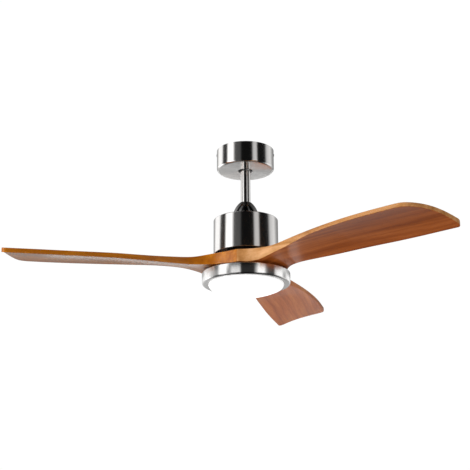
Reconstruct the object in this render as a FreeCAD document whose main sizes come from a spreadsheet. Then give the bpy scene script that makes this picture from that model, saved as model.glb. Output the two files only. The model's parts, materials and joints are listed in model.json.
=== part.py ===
import FreeCAD, Part
import math
import operator
import os
import Sketcher

# A three-blade ceiling fan with a light, hung on a downrod from a ball in a ceiling bracket.
# Millimetres, +Z up, origin on the ceiling at the middle of the bracket's bolt pattern.

doc = FreeCAD.newDocument("ceiling_fan")
VEC = FreeCAD.Vector
UP = VEC(0, 0, 1)


# ---- driving dimensions ----

DIMENSIONS = [
    # canopy and bracket
    ("canopy_radius", 80), ("canopy_height", 60), ("canopy_gap", 1), ("sheet_wall", 1.2),
    ("canopy_round", 7), ("canopy_hole_radius", 20.5), ("canopy_screw_drop", 13),
    ("plate_length", 122), ("plate_width", 58), ("plate_wall", 2.5), ("entry_radius", 20),
    ("slot_spacing", 90), ("slot_length", 14), ("slot_width", 6.5),
    ("ball_radius", 25), ("ball_drop", 34), ("ball_top", 8), ("ball_bottom", 19),
    ("seat_clearance", 0.3), ("cradle_radius", 31), ("cradle_top", 41), ("cradle_bottom", 51),
    ("key_width", 5), ("key_groove", 6),
    # downrod and coupling
    ("rod_radius", 13.5), ("rod_bore", 11), ("rod_top", 14), ("rod_bottom", 209.5),
    ("pin_radius", 3), ("hanger_pin_drop", 31), ("pin_slack", 0.1), ("fit_slack", 0.05),
    ("bell_top", 155.5), ("bell_neck_radius", 17.4), ("bell_foot_radius", 36),
    ("yoke_top", 168), ("yoke_radius", 19), ("yoke_bore", 13.6), ("flange_radius", 46),
    ("flange_wall", 5), ("yoke_hub_radius", 16), ("yoke_hub_bottom", 222),
    ("clevis_drop", 186), ("clevis_radius", 3.15), ("set_screw_drop", 200), ("set_screw_radius", 2.9),
    # motor
    ("housing_radius", 89), ("housing_top", 206.5), ("housing_bottom", 305), ("housing_round", 2.5),
    ("housing_screw_circle", 41), ("shaft_radius", 8.47), ("shaft_bore", 5.5), ("shaft_top", 210.5),
    ("shaft_bottom", 371), ("bearing_bore", 8.5), ("bearing_radius", 20), ("bearing_width", 12),
    ("upper_bearing_top", 228), ("lower_bearing_top", 284), ("boss_radius", 26),
    ("rotor_radius", 78), ("rotor_inner", 73), ("rotor_split", 264), ("rotor_top", 236),
    ("rotor_bottom", 288), ("rotor_wall", 4), ("neck_radius", 52), ("neck_inner", 44),
    ("stator_radius", 66), ("stator_top", 248), ("stator_height", 26), ("stator_hub", 34),
    ("tooth_width", 9), ("magnet_inner", 66.8), ("magnet_outer", 71), ("magnet_height", 30),
    # blades and their plate
    ("blade_plate_radius", 84), ("blade_plate_top", 318.5), ("blade_plate_wall", 3), ("gasket_wall", 1),
    ("hub_thickness", 34), ("hub_hole_radius", 30), ("bolt_circle", 75), ("bolt_radius", 2.95),
    ("bolt_hole_radius", 3.4), ("counterbore_radius", 9), ("counterbore_depth", 8),
    ("washer_radius", 8.5), ("washer_wall", 1.5), ("blade_turn", 11.7), ("seam_gap", 0.15),
    ("rotor_screw_circle", 75.5),
    ("blade_arch", 8.5), ("blade_top_arch", 7),
    # light kit
    ("ring_radius", 120.5), ("ring_top", 358.5), ("ring_bottom", 390), ("ring_round", 6),
    ("ring_shoulder", 2.5), ("ring_mouth", 103), ("ring_hole", 12), ("light_bracket_radius", 50),
    ("light_bracket_wall", 2.5), ("tray_radius", 99), ("tray_top", 379.5), ("tray_wall", 1),
    ("board_inner", 52), ("board_outer", 92), ("board_wall", 1.6), ("standoff_circle", 45),
    ("diffuser_radius", 102.3), ("diffuser_wall", 2), ("diffuser_top", 384.2), ("diffuser_depth", 31),
    ("lug_reach", 105.5), ("lug_wall", 2),
]


def fill_sheet():
    """Write every driving dimension into the spreadsheet, one alias to a row."""
    cells = doc.addObject("Spreadsheet::Sheet", "sheet")
    for row, (alias, value) in enumerate(DIMENSIONS, start=1):
        cells.set("A%d" % row, alias)
        cells.set("B%d" % row, str(value))
        cells.setAlias("B%d" % row, alias)
    doc.recompute()
    return cells


class Size:
    """A length that knows both its value and the sheet expression it comes from."""

    def __init__(self, value, text):
        self.value = value
        self.text = text

    def joined(self, other, action, sign, swap=False):
        first, second = (other, self) if swap else (self, other)
        words = "(%s %s %s)" % (wording(first), sign, wording(second))
        return Size(action(number(first), number(second)), words)

    def __add__(self, other):
        return self.joined(other, operator.add, "+")

    def __radd__(self, other):
        return self.joined(other, operator.add, "+", True)

    def __sub__(self, other):
        return self.joined(other, operator.sub, "-")

    def __rsub__(self, other):
        return self.joined(other, operator.sub, "-", True)

    def __mul__(self, other):
        return self.joined(other, operator.mul, "*")

    def __rmul__(self, other):
        return self.joined(other, operator.mul, "*", True)

    def __truediv__(self, other):
        return self.joined(other, operator.truediv, "/")

    def __neg__(self):
        return Size(0 - self.value, "(0 - %s)" % self.text)


def number(amount):
    """Plain value of a Size or of a number."""
    return amount.value if isinstance(amount, Size) else float(amount)


def wording(amount):
    """Expression text of a Size or of a number."""
    return amount.text if isinstance(amount, Size) else repr(amount)


class Sheet:
    """Reads sizes out of the spreadsheet by alias."""

    def __init__(self, cells):
        self.cells = cells

    def __getattr__(self, alias):
        return Size(float(self.cells.get(alias)), "sheet.%s" % alias)


size = Sheet(fill_sheet())
finished = []


def bind(item, prop, amount):
    """Set a property, and tie it to the sheet when it is a Size."""
    if isinstance(amount, Size):
        item.setExpression(prop, amount.text)
    else:
        setattr(item, prop, amount)


def finish(item, name):
    """Name a finished sub-part and keep it for the export."""
    item.Label = name
    finished.append((name, item))
    return item


# ---- sketches and features ----

def origin_part(body, role):
    """One of the body's own origin planes or axes."""
    return [item for item in body.Origin.OriginFeatures if item.Role == role][0]


def start_sketch(body, role, x=0, y=0, z=0):
    """An empty sketch on an origin plane, shifted by x, y, z in that plane's own frame."""
    sketch = body.newObject("Sketcher::SketchObject", body.Name + "_sketch")
    sketch.AttachmentSupport = [(origin_part(body, role), "")]
    sketch.MapMode = "FlatFace"
    sketch.AttachmentOffset = FreeCAD.Placement(VEC(number(x), number(y), number(z)), FreeCAD.Rotation())
    for axis, amount in (("x", x), ("y", y), ("z", z)):
        if isinstance(amount, Size):
            sketch.setExpression("AttachmentOffset.Base.%s" % axis, amount.text)
    return sketch


def fix(sketch, kind, start, amount):
    """Add one dimension from the sketch's origin, or on a curve, tied to the sheet."""
    value = number(amount)
    label = "fix%d" % sketch.ConstraintCount
    if kind == "Radius":
        index = sketch.addConstraint(Sketcher.Constraint(kind, start[0], value))
    elif value == 0 and not isinstance(amount, Size):
        axis = -2 if kind == "DistanceX" else -1
        sketch.addConstraint(Sketcher.Constraint("PointOnObject", start[0], start[1], axis))
        return
    else:
        index = sketch.addConstraint(Sketcher.Constraint(kind, -1, 1, start[0], start[1], value))
    sketch.renameConstraint(index, label)
    if isinstance(amount, Size):
        sketch.setExpression("Constraints.%s" % label, amount.text)


def arc_between(start, end, radius, turn):
    """The shorter arc from start to end: turn 1 runs anticlockwise, turn -1 clockwise."""
    chord = end - start
    height = math.sqrt(max(radius * radius - chord.Length * chord.Length / 4, 0))
    side = VEC(-chord.y, chord.x, 0).normalize() * height * turn
    centre = (start + end) * 0.5 + side
    first = math.atan2(start.y - centre.y, start.x - centre.x)
    last = math.atan2(end.y - centre.y, end.x - centre.x)
    if turn < 0:
        first, last = last, first
    return Part.ArcOfCircle(Part.Circle(centre, UP, radius), first, last)


def outline(sketch, points):
    """A closed outline. A point is (x, y), or (x, y, radius, turn) when an arc leaves it."""
    first = sketch.GeometryCount
    count = len(points)
    places = [VEC(number(point[0]), number(point[1]), 0) for point in points]
    ends = []
    for index, point in enumerate(points):
        start, end = places[index], places[(index + 1) % count]
        if len(point) == 2:
            sketch.addGeometry(Part.LineSegment(start, end), False)
            ends.append((1, 2))
        else:
            sketch.addGeometry(arc_between(start, end, number(point[2]), point[3]), False)
            ends.append((1, 2) if point[3] > 0 else (2, 1))
    for index, point in enumerate(points):
        after = (index + 1) % count
        joint = Sketcher.Constraint("Coincident", first + index, ends[index][1], first + after,
                                    ends[after][0])
        sketch.addConstraint(joint)
    for index, point in enumerate(points):
        fix(sketch, "DistanceX", (first + index, ends[index][0]), point[0])
        fix(sketch, "DistanceY", (first + index, ends[index][0]), point[1])
        if len(point) > 2 and (places[(index + 1) % count] - places[index]).Length < 1.99 * number(point[2]):
            fix(sketch, "Radius", (first + index, 0), point[2])
        elif len(point) > 2:
            # A half circle's radius follows from its ends, so its upright diameter holds its centre instead.
            fix(sketch, "DistanceX", (first + index, 3), point[0])


def ring_mark(sketch, radius, x=0, y=0):
    """A circle in a sketch."""
    circle = sketch.addGeometry(Part.Circle(VEC(number(x), number(y), 0), UP, number(radius)), False)
    fix(sketch, "DistanceX", (circle, 3), x)
    fix(sketch, "DistanceY", (circle, 3), y)
    fix(sketch, "Radius", (circle, 0), radius)


def new_body(name):
    body = doc.addObject("PartDesign::Body", name)
    body.Label = name
    return body


def revolve(body, points, x=0, y=0):
    """Turn a radius-and-height outline about the vertical line at x, y."""
    sketch = start_sketch(body, "XZ_Plane", x, 0, -y if isinstance(y, Size) else 0 - y)
    outline(sketch, points)
    turned = body.newObject("PartDesign::Revolution", body.Name + "_turned")
    turned.Profile = sketch
    turned.ReferenceAxis = (sketch, ["V_Axis"])
    turned.Angle = 360
    return turned


def repeat(body, feature, count):
    """Repeat a feature evenly about the vertical axis."""
    pattern = body.newObject("PartDesign::PolarPattern", body.Name + "_pattern")
    pattern.Originals = [feature]
    pattern.Axis = (origin_part(body, "Z_Axis"), [""])
    pattern.Angle = 360
    pattern.Occurrences = count
    body.Tip = pattern
    return pattern


def turned_part(name, points):
    """A sub-part turned about the fan's axis."""
    body = new_body(name)
    revolve(body, points)
    return finish(body, name)


def turned_group(name, points, circle, count, start=0):
    """The same turned piece repeated on a circle, as separate solids in one node."""
    body = new_body(name)
    body.AllowCompound = True
    feature = revolve(body, points, circle)
    repeat(body, feature, count)
    body.Placement = FreeCAD.Placement(VEC(0, 0, 0), UP, start)
    return finish(body, name)


def plate_part(name, bottom, wall, draw, placed=None):
    """A flat plate: draw(sketch) draws its outline and holes, and it is padded up from bottom."""
    body = new_body(name)
    sketch = start_sketch(body, "XY_Plane", 0, 0, bottom)
    draw(sketch)
    pad = body.newObject("PartDesign::Pad", name + "_pad")
    pad.Profile = sketch
    bind(pad, "Length", wall)
    if placed:
        body.Placement = placed
    return body


def cylinder(name, radius, height, base, direction=UP):
    """A Part cylinder from base along direction."""
    item = doc.addObject("Part::Cylinder", name)
    bind(item, "Radius", radius)
    bind(item, "Height", height)
    item.Placement = FreeCAD.Placement(VEC(0, 0, 0), FreeCAD.Rotation(UP, direction))
    place(item, base)
    return item


def place(item, base):
    """Put an item's base at three amounts, tied to the sheet where they are Sizes."""
    item.Placement.Base = VEC(*[number(amount) for amount in base])
    for axis, amount in zip("xyz", base):
        if isinstance(amount, Size):
            item.setExpression("Placement.Base.%s" % axis, amount.text)


def block(name, length, width, height, base):
    """A Part box with its low corner at base."""
    item = doc.addObject("Part::Box", name)
    bind(item, "Length", length)
    bind(item, "Width", width)
    bind(item, "Height", height)
    place(item, base)
    return item


def cut(name, base, *tools):
    """Take tools away from a base."""
    item = doc.addObject("Part::Cut", name)
    item.Base = base
    item.Tool = tools[0] if len(tools) == 1 else fuse(name + "_tools", *tools)
    return item


def fuse(name, *shapes):
    item = doc.addObject("Part::MultiFuse", name)
    item.Shapes = list(shapes)
    return item


def group(name, *shapes):
    """Separate solids kept in one node."""
    item = doc.addObject("Part::Compound", name)
    item.Links = list(shapes)
    return item


# ---- canopy, bracket and hanger ball ----

def make_canopy_shell():
    """Drawn cup with a rounded foot, open at the ceiling, with a hole for the rod."""
    outer, wall, rounding = size.canopy_radius, size.sheet_wall, size.canopy_round
    foot = -size.canopy_height
    body = new_body("canopy_shell")
    revolve(body, [
        (size.canopy_hole_radius, foot), (outer - rounding, foot, rounding, 1), (outer, foot + rounding),
        (outer, -size.canopy_gap), (outer - wall, -size.canopy_gap),
        (outer - wall, foot + rounding, rounding - wall, -1), (outer - rounding, foot + wall),
        (size.canopy_hole_radius, foot + wall)])
    drill = start_sketch(body, "YZ_Plane")
    ring_mark(drill, 2.2, 0, -size.canopy_screw_drop)
    hole = body.newObject("PartDesign::Pocket", "canopy_screw_holes")
    hole.Profile = drill
    hole.SideType = "Symmetric"
    hole.Length = 400
    finish(body, "canopy_shell")


def make_canopy_screws():
    """Two wafer-headed M4 screws through the canopy's sides into the bracket's tabs."""
    screws = []
    for side in (1, -1):
        drop = -size.canopy_screw_drop
        head = cylinder("canopy_head", 3.6, 0.9, (side * (size.canopy_radius + 0.05), 0, drop), VEC(side, 0,
                                                                                                    0))
        shank = cylinder("canopy_shank", 1.95, 7, (side * (size.canopy_radius - 6.9), 0, drop), VEC(side, 0,
                                                                                                    0))
        screws.append(fuse("canopy_screw", head, shank))
    finish(group("canopy_screws", *screws), "canopy_screws")


def slot_outline(sketch, centre, length, width):
    """A straight slot along X about a centre on the X axis."""
    half = length / 2 - width / 2
    rise = width / 2
    outline(sketch, [
        (centre - half, -rise), (centre + half, -rise, rise, 1), (centre + half, rise),
        (centre - half, rise, rise, 1)])


def make_ceiling_bracket():
    """Pressed steel plate with end tabs, two hanging straps and a cradle for the ball."""
    def draw(sketch):
        across, deep = size.plate_length / 2, size.plate_width / 2
        outline(sketch, [
            (-across, -deep), (across, -deep), (across, -10), (across + 17, -10), (across + 17,
                                                                                   10), (across, 10),
            (across, deep), (-across, deep), (-across, 10), (-across - 17, 10), (-across - 17,
                                                                                 -10), (-across, -10)])
        ring_mark(sketch, size.entry_radius)
        slot_outline(sketch, size.slot_spacing / 2, size.slot_length, size.slot_width)
        slot_outline(sketch, -size.slot_spacing / 2, size.slot_length, size.slot_width)
    plate = plate_part("bracket_plate", -size.plate_wall, size.plate_wall, draw)
    reach = size.plate_length / 2 + 17
    tab_drop = size.canopy_screw_drop + 6
    tabs = []
    for side in (1, -1):
        low = reach - size.plate_wall if side > 0 else -reach
        tab = block("bracket_tab", size.plate_wall, 16, tab_drop, (low, -8, -tab_drop))
        hole = cylinder("tab_hole", 2, 20, (side * 60, 0, -size.canopy_screw_drop), VEC(side, 0, 0))
        tabs.append(cut("bracket_tab_drilled", tab, hole))
    straps = []
    for side in (1, -1):
        low = size.plate_width / 2 - size.plate_wall if side > 0 else -(size.plate_width / 2)
        straps.append(block("bracket_strap", 30, size.plate_wall, size.cradle_bottom, (-15, low,
                                                                                       -size.cradle_bottom)))
    cradle_height = size.cradle_bottom - size.cradle_top
    cup = cylinder("cradle_cup", size.cradle_radius, cradle_height, (0, 0, -size.cradle_bottom))
    hollow = doc.addObject("Part::Sphere", "cradle_hollow")
    bind(hollow, "Radius", size.ball_radius + size.seat_clearance)
    place(hollow, (0, 0, -size.ball_drop))
    gate = block("cradle_gate", 60, 2 * size.rod_radius + 4, 20, (0, -size.rod_radius - 2,
                                                                  -size.cradle_bottom - 5))
    cradle = cut("cradle", cup, hollow, gate)
    key = block("cradle_key", 6, size.key_width, cradle_height,
                (-size.ball_radius - 2, -size.key_width / 2, -size.cradle_bottom))
    key_room = cylinder("key_room", size.ball_radius - 3, 30, (0, 0, -size.cradle_bottom - 5))
    key_cut = cut("cradle_key_cut", key, key_room)
    whole = fuse("bracket_whole", plate, *(tabs + straps + [cradle, key_cut]))
    finish(whole, "ceiling_bracket")


def make_hanger_ball():
    """Nylon ball with flat top and bottom, a bore for the rod, a pin hole and a key groove."""
    radius, centre = size.ball_radius, -size.ball_drop
    ball = doc.addObject("Part::Sphere", "ball_round")
    bind(ball, "Radius", radius)
    place(ball, (0, 0, centre))
    band_height = size.ball_top + size.ball_bottom
    band = cylinder("ball_band", 2 * radius, band_height, (0, 0, centre - size.ball_bottom))
    flat = doc.addObject("Part::Common", "ball_flattened")
    flat.Base = ball
    flat.Tool = band
    bore = cylinder("ball_bore", size.rod_radius + size.fit_slack, 80, (0, 0, centre - 40))
    pin = cylinder("ball_pin_hole", size.pin_radius + size.pin_slack, 80, (0, -40, -size.hanger_pin_drop),
                   VEC(0, 1, 0))
    screw = cylinder("ball_screw_hole", size.set_screw_radius + size.pin_slack, 40,
                     (0, 0, -size.ball_drop - 7), VEC(1, 0, 0))
    cutter = cylinder("ball_groove_side", 60, size.key_groove + 1, (0, -size.key_groove / 2 - 0.5, centre),
                      VEC(0, 1, 0))
    core = cylinder("ball_groove_core", radius - 4, size.key_groove + 3,
                    (0, -size.key_groove / 2 - 1.5, centre), VEC(0, 1, 0))
    arc_groove = cut("ball_groove_ring", cutter, core)
    narrow = doc.addObject("Part::Common", "ball_groove_cut")
    wide = block("ball_groove_wide", 60, size.key_groove, 80, (-60, -size.key_groove / 2, centre - 40))
    narrow.Base = arc_groove
    narrow.Tool = wide
    finish(cut("ball_whole", flat, bore, pin, screw, narrow), "hanger_ball")


def make_hanger_pin():
    half = 22
    pin = cylinder("hanger_pin_rod", size.pin_radius, 2 * half, (0, -half, -size.hanger_pin_drop), VEC(0, 1,
                                                                                                       0))
    finish(pin, "hanger_pin")


def make_ball_set_screw():
    screw = cylinder("ball_screw_rod", size.set_screw_radius, 8.5,
                     (size.rod_radius + size.fit_slack, 0, -size.ball_drop - 7), VEC(1, 0, 0))
    finish(screw, "ball_set_screw")


def make_receiver_box():
    """Remote-control receiver, a plastic box held under one end of the bracket plate."""
    box = block("receiver_block", 36, 42, 22, (-72, -21, -size.plate_wall - 22.1))
    window = block("receiver_window", 2, 20, 10, (-36.9, -10, -20))
    finish(cut("receiver_whole", box, window), "receiver_box")


def make_terminal_block():
    """Three-way screw terminal under the other end of the plate."""
    base = block("terminal_base", 14, 34, 15, (52, -17, -size.plate_wall - 15.1))
    wells = [cylinder("terminal_well", 2.6, 6, (59, offset, -size.plate_wall - 15.2)) for offset in (-11, 0,
                                                                                                     11)]
    finish(cut("terminal_whole", base, *wells), "terminal_block")


# ---- downrod, bell cover and yoke ----

def make_downrod():
    """Steel tube with cross holes for the hanger pin and the clevis pin."""
    tube = turned_body("downrod_tube", [
        (size.rod_bore, -size.rod_bottom), (size.rod_radius, -size.rod_bottom),
        (size.rod_radius, -size.rod_top), (size.rod_bore, -size.rod_top)])
    upper = cylinder("rod_upper_hole", size.pin_radius + size.pin_slack, 60,
                     (0, -30, -size.hanger_pin_drop), VEC(0, 1, 0))
    lower = cylinder("rod_lower_hole", size.clevis_radius + size.pin_slack, 60,
                     (0, -30, -size.clevis_drop), VEC(0, 1, 0))
    finish(cut("downrod_whole", tube, upper, lower), "downrod")


def turned_body(name, points):
    """A turned body that is only a step towards a sub-part."""
    body = new_body(name)
    revolve(body, points)
    return body


def make_supply_leads():
    """Sheathed leads: down the rod beside its pins, an S into the hollow shaft, a turn into the plug."""
    aside, inside, bend, last = 6.0, 2.5, 25.0, 6.0
    swing = math.acos(1 - (aside - inside) / 2 / bend)
    start, foot = -192.8, -size.shaft_bottom.value + 1
    middle = VEC((aside + inside) / 2, 0, start - bend * math.sin(swing))
    half = swing / 2
    upper = VEC(aside - bend * (1 - math.cos(half)), 0, start - bend * math.sin(half))
    end = VEC(inside, 0, start - 2 * bend * math.sin(swing))
    lower = VEC(inside + bend * (1 - math.cos(half)), 0, end.z + bend * math.sin(half))
    corner = VEC(inside + last * (1 - math.cos(math.radians(45))), 0,
                 foot - last * math.sin(math.radians(45)))
    finish_point = VEC(inside + last, 0, foot - last)
    path = Part.Wire([
        Part.makeLine(VEC(aside, 0, -8), VEC(aside, 0, start)),
        Part.Arc(VEC(aside, 0, start), upper, middle).toShape(),
        Part.Arc(middle, lower, end).toShape(),
        Part.makeLine(end, VEC(inside, 0, foot)),
        Part.Arc(VEC(inside, 0, foot), corner, finish_point).toShape()])
    section = Part.Wire(Part.makeCircle(2, VEC(aside, 0, -8), UP))
    leads = doc.addObject("Part::Feature", "leads_swept")
    leads.Shape = path.makePipeShell([section], True, True)
    print("leads: length %.0f, volume %.0f for %.0f" % (path.Length, leads.Shape.Volume,
                                                        path.Length * math.pi * 4))
    finish(leads, "supply_leads")


def make_yoke_cover():
    """Spun bell that hides the yoke: a short neck that flares to the motor's top."""
    wall = size.sheet_wall
    top, low = -size.bell_top, -size.housing_top + 0.1
    neck, foot = size.bell_neck_radius, size.bell_foot_radius
    flare = 62
    turned_part("yoke_cover", [
        (size.rod_radius + 0.5, top - wall), (size.rod_radius + 0.5, top), (neck, top, flare, -1),
        (foot, low), (foot - wall, low), (foot - wall, low + 2, flare, 1),
        (neck - wall + 1, top - wall)])


def make_motor_yoke():
    """Cast collar that takes the rod, with a flange for the housing and a hub for the shaft."""
    flange = -size.housing_top - size.sheet_wall - 0.1
    collar = turned_body("yoke_collar", [
        (size.yoke_bore, -size.rod_bottom - 0.5), (size.yoke_bore, -size.yoke_top),
        (size.yoke_radius, -size.yoke_top),
        (size.yoke_radius, flange), (size.flange_radius, flange),
        (size.flange_radius, flange - size.flange_wall),
        (size.yoke_hub_radius, flange - size.flange_wall), (size.yoke_hub_radius, -size.yoke_hub_bottom),
        (size.shaft_radius + size.fit_slack, -size.yoke_hub_bottom),
        (size.shaft_radius + size.fit_slack, -size.rod_bottom - 0.5)])
    clevis = cylinder("yoke_pin_hole", size.clevis_radius + size.pin_slack, 60,
                      (0, -30, -size.clevis_drop), VEC(0, 1, 0))
    screws = cylinder("yoke_screw_hole", size.set_screw_radius + size.pin_slack, 60,
                      (-30, 0, -size.set_screw_drop), VEC(1, 0, 0))
    threads = circle_tools("yoke_thread", 2.5, -225, 30, size.housing_screw_circle, 3, 30)
    finish(cut("yoke_whole", collar, clevis, screws, *threads), "motor_yoke")


def make_clevis_pin():
    """Headed pin with a cross hole for the cotter."""
    drop = -size.clevis_drop
    shank = cylinder("clevis_shank", size.clevis_radius, 45, (0, -20, drop), VEC(0, 1, 0))
    head = cylinder("clevis_head", 5, 2.2, (0, -22.2, drop), VEC(0, 1, 0))
    whole = fuse("clevis_solid", shank, head)
    hole = cylinder("clevis_cross_hole", 1.2, 12, (-6, 21.8, drop), VEC(1, 0, 0))
    finish(cut("clevis_whole", whole, hole), "clevis_pin")


def make_cotter_pin():
    """Wire clip through the clevis pin's end: a straight leg, an eye and a return leg."""
    drop = size.clevis_drop
    leg = cylinder("cotter_leg", 1, 15, (-8, 21.8, -drop), VEC(1, 0, 0))
    back = cylinder("cotter_return", 1, 6, (-8, 21.8, -drop + 4.6), VEC(1, 0, 0))
    bend = doc.addObject("Part::Torus", "cotter_bend")
    bend.Radius1 = 2.3
    bend.Radius2 = 1
    bend.Placement = FreeCAD.Placement(VEC(0, 0, 0), FreeCAD.Rotation(UP, VEC(0, 1, 0)))
    place(bend, (-8, 21.8, -drop + 2.3))
    keep = block("cotter_bend_half", 6, 6, 10, (-14, 18.8, -drop - 3))
    half = doc.addObject("Part::Common", "cotter_bend_cut")
    half.Base = bend
    half.Tool = keep
    finish(fuse("cotter_whole", leg, back, half), "cotter_pin")


def make_yoke_set_screws():
    drop = -size.set_screw_drop
    screws = [cylinder("yoke_screw", size.set_screw_radius, 9, (side * (size.rod_radius + size.fit_slack),
                                                                0, drop),
                       VEC(side, 0, 0)) for side in (1, -1)]
    finish(group("yoke_set_screws", *screws), "yoke_set_screws")


# ---- motor ----

def make_motor_housing():
    """Drawn cup, open below, with a middle hole for the yoke and three screw holes."""
    outer, wall, rounding = size.housing_radius, size.sheet_wall, size.housing_round
    top, low = -size.housing_top, -size.housing_bottom
    hole = size.yoke_radius + 1
    cup = turned_body("housing_cup", [
        (hole, top), (hole, top - wall), (outer - rounding, top - wall, rounding - wall, -1),
        (outer - wall, top - rounding), (outer - wall, low + 1), (outer - wall - 1.8,
                                                                  low + 1), (outer - wall - 1.8, low),
        (outer - 1, low, 1, 1), (outer, low + 1), (outer, top - rounding, rounding, 1), (outer - rounding,
                                                                                         top)])
    holes = circle_tools("housing_hole", 2.7, top - 6, 12, size.housing_screw_circle, 3, 30)
    finish(cut("housing_whole", cup, *holes), "motor_housing")


def screw_points(seat, head_radius, head_height, shank_radius, shank_end):
    """Outline of a screw whose head stands above its seat and whose shank goes down."""
    return [(0, shank_end), (shank_radius, shank_end), (shank_radius, seat), (head_radius, seat),
            (head_radius, seat + head_height), (0, seat + head_height)]


def hung_screw_points(seat, head_radius, head_height, shank_radius, shank_end):
    """Outline of a screw whose head hangs below its seat and whose shank goes up."""
    return [(0, seat - head_height), (head_radius, seat - head_height), (head_radius, seat),
            (shank_radius, seat),
            (shank_radius, shank_end), (0, shank_end)]


def make_housing_screws():
    top = -size.housing_top
    points = screw_points(top + 0.05, 3.9, 2.6, 2.4, top - size.sheet_wall - size.flange_wall)
    turned_group("housing_screws", points, size.housing_screw_circle, 3, 30)


def make_motor_shaft():
    """Fixed hollow shaft that carries the stator and, at its foot, the light."""
    turned_part("motor_shaft", [
        (size.shaft_bore, -size.shaft_bottom), (size.shaft_radius - 0.8, -size.shaft_bottom),
        (size.shaft_radius, -size.shaft_bottom + 0.8), (size.shaft_radius, -size.shaft_top),
        (size.shaft_bore, -size.shaft_top)])


def make_bearing(name, top):
    """Shielded ball bearing as one ring, with the groove between its races on both faces."""
    bore, outer, low = size.bearing_bore, size.bearing_radius, top - size.bearing_width
    turned_part(name, [
        (bore, low), (bore + 3, low), (bore + 3, low + 0.8), (outer - 3, low + 0.8), (outer - 3,
                                                                                      low), (outer, low),
        (outer, top), (outer - 3, top), (outer - 3, top - 0.8), (bore + 3, top - 0.8), (bore + 3,
                                                                                        top), (bore, top)])


def make_rotor_upper_shell():
    """Die-cast end bell with the upper bearing's seat."""
    seat, boss = size.bearing_radius + 0.02, size.boss_radius
    under, over = -size.rotor_top - size.rotor_wall, -size.rotor_top
    top = -size.upper_bearing_top + 0.1
    shell = turned_body("rotor_upper_cast", [
        (seat, under), (seat, top), (boss, top), (boss, over), (size.rotor_radius - 1, over),
        (size.rotor_radius, over - 1), (size.rotor_radius, -size.rotor_split),
        (size.rotor_inner, -size.rotor_split), (size.rotor_inner, under)])
    holes = circle_tools("rotor_hole", 1.6, -size.rotor_split - 5, 40, size.rotor_screw_circle.value, 6, 15)
    finish(cut("rotor_upper_whole", shell, *holes), "rotor_upper_shell")


def make_rotor_lower_shell():
    """Die-cast lower half with the lower bearing's seat and the neck that carries the blade plate."""
    seat, boss = size.bearing_radius + 0.02, size.boss_radius
    floor, under = -size.rotor_bottom + size.rotor_wall, -size.rotor_bottom
    foot = -size.lower_bearing_top - size.bearing_width - 0.5
    face, split = -size.blade_plate_top, -size.rotor_split - 0.1
    shell = turned_body("rotor_lower_cast", [
        (seat, foot), (boss, foot), (boss, under), (size.neck_inner, under), (size.neck_inner, face),
        (size.neck_radius + 10, face), (size.neck_radius + 10, face + 4), (size.neck_radius, face + 4),
        (size.neck_radius, under), (size.rotor_radius - 1, under), (size.rotor_radius, under + 1),
        (size.rotor_radius, split), (size.rotor_inner, split), (size.rotor_inner, floor), (seat, floor)])
    holes = circle_tools("neck_thread", 2.55, face - 5, 15, size.neck_radius.value + 5, 6, 0)
    holes += circle_tools("rotor_thread", 1.45, under + 3, 40, size.rotor_screw_circle.value, 6, 15)
    finish(cut("rotor_lower_whole", shell, *holes), "rotor_lower_shell")


def circle_tools(name, radius, low, tall, circle, count, start):
    """Upright drills on a circle about the axis."""
    tools = []
    for index in range(count):
        angle = math.radians(start + 360 / count * index)
        spot = (circle * math.cos(angle), circle * math.sin(angle), low)
        tools.append(cylinder(name, radius, tall, spot))
    return tools


def make_rotor_ring():
    """Steel back-iron ring behind the magnets."""
    middle = -size.stator_top - size.stator_height / 2
    turned_part("rotor_ring", [
        (size.magnet_outer + 0.05, middle - 18), (size.rotor_inner - 0.05, middle - 18),
        (size.rotor_inner - 0.05, middle + 18), (size.magnet_outer + 0.05, middle + 18)])


def wedge_outline(sketch, inner, outer, half_angle):
    """A piece of a ring, about the X axis, that spans half_angle to each side."""
    rise, run = math.sin(math.radians(half_angle)), math.cos(math.radians(half_angle))
    outline(sketch, [
        (inner * run, -(inner * rise)), (outer * run, -(outer * rise), outer, 1),
        (outer * run, outer * rise), (inner * run, inner * rise, inner, -1)])


def make_rotor_magnets():
    """Sixteen arc magnets."""
    middle = -size.stator_top - size.stator_height / 2

    def draw(sketch):
        wedge_outline(sketch, size.magnet_inner, size.magnet_outer, 10.4)
    body = plate_part("rotor_magnets", middle - size.magnet_height / 2, size.magnet_height, draw)
    body.AllowCompound = True
    repeat(body, body.Tip, 16)
    finish(body, "rotor_magnets")


def make_stator_core():
    """Lamination stack: a hub with twelve teeth and pole shoes."""
    low, tall = -size.stator_top - size.stator_height, size.stator_height

    def hub_draw(sketch):
        ring_mark(sketch, size.stator_hub)
        ring_mark(sketch, size.shaft_radius + size.fit_slack)
    body = plate_part("stator_core", low, tall, hub_draw)
    sketch = start_sketch(body, "XY_Plane", 0, 0, low)
    half, shoe_inner, outer = size.tooth_width / 2, size.stator_radius - 4, size.stator_radius
    rise, run = math.sin(math.radians(12.5)), math.cos(math.radians(12.5))
    outline(sketch, [
        (size.stator_hub - 2, -half), (shoe_inner - 1, -half), (shoe_inner * run, -(shoe_inner * rise)),
        (outer * run, -(outer * rise), outer, 1), (outer * run, outer * rise), (shoe_inner * run,
                                                                                shoe_inner * rise),
        (shoe_inner - 1, half), (size.stator_hub - 2, half)])
    tooth = body.newObject("PartDesign::Pad", "stator_tooth")
    tooth.Profile = sketch
    bind(tooth, "Length", tall)
    repeat(body, tooth, 12)
    finish(body, "stator_core")


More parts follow.
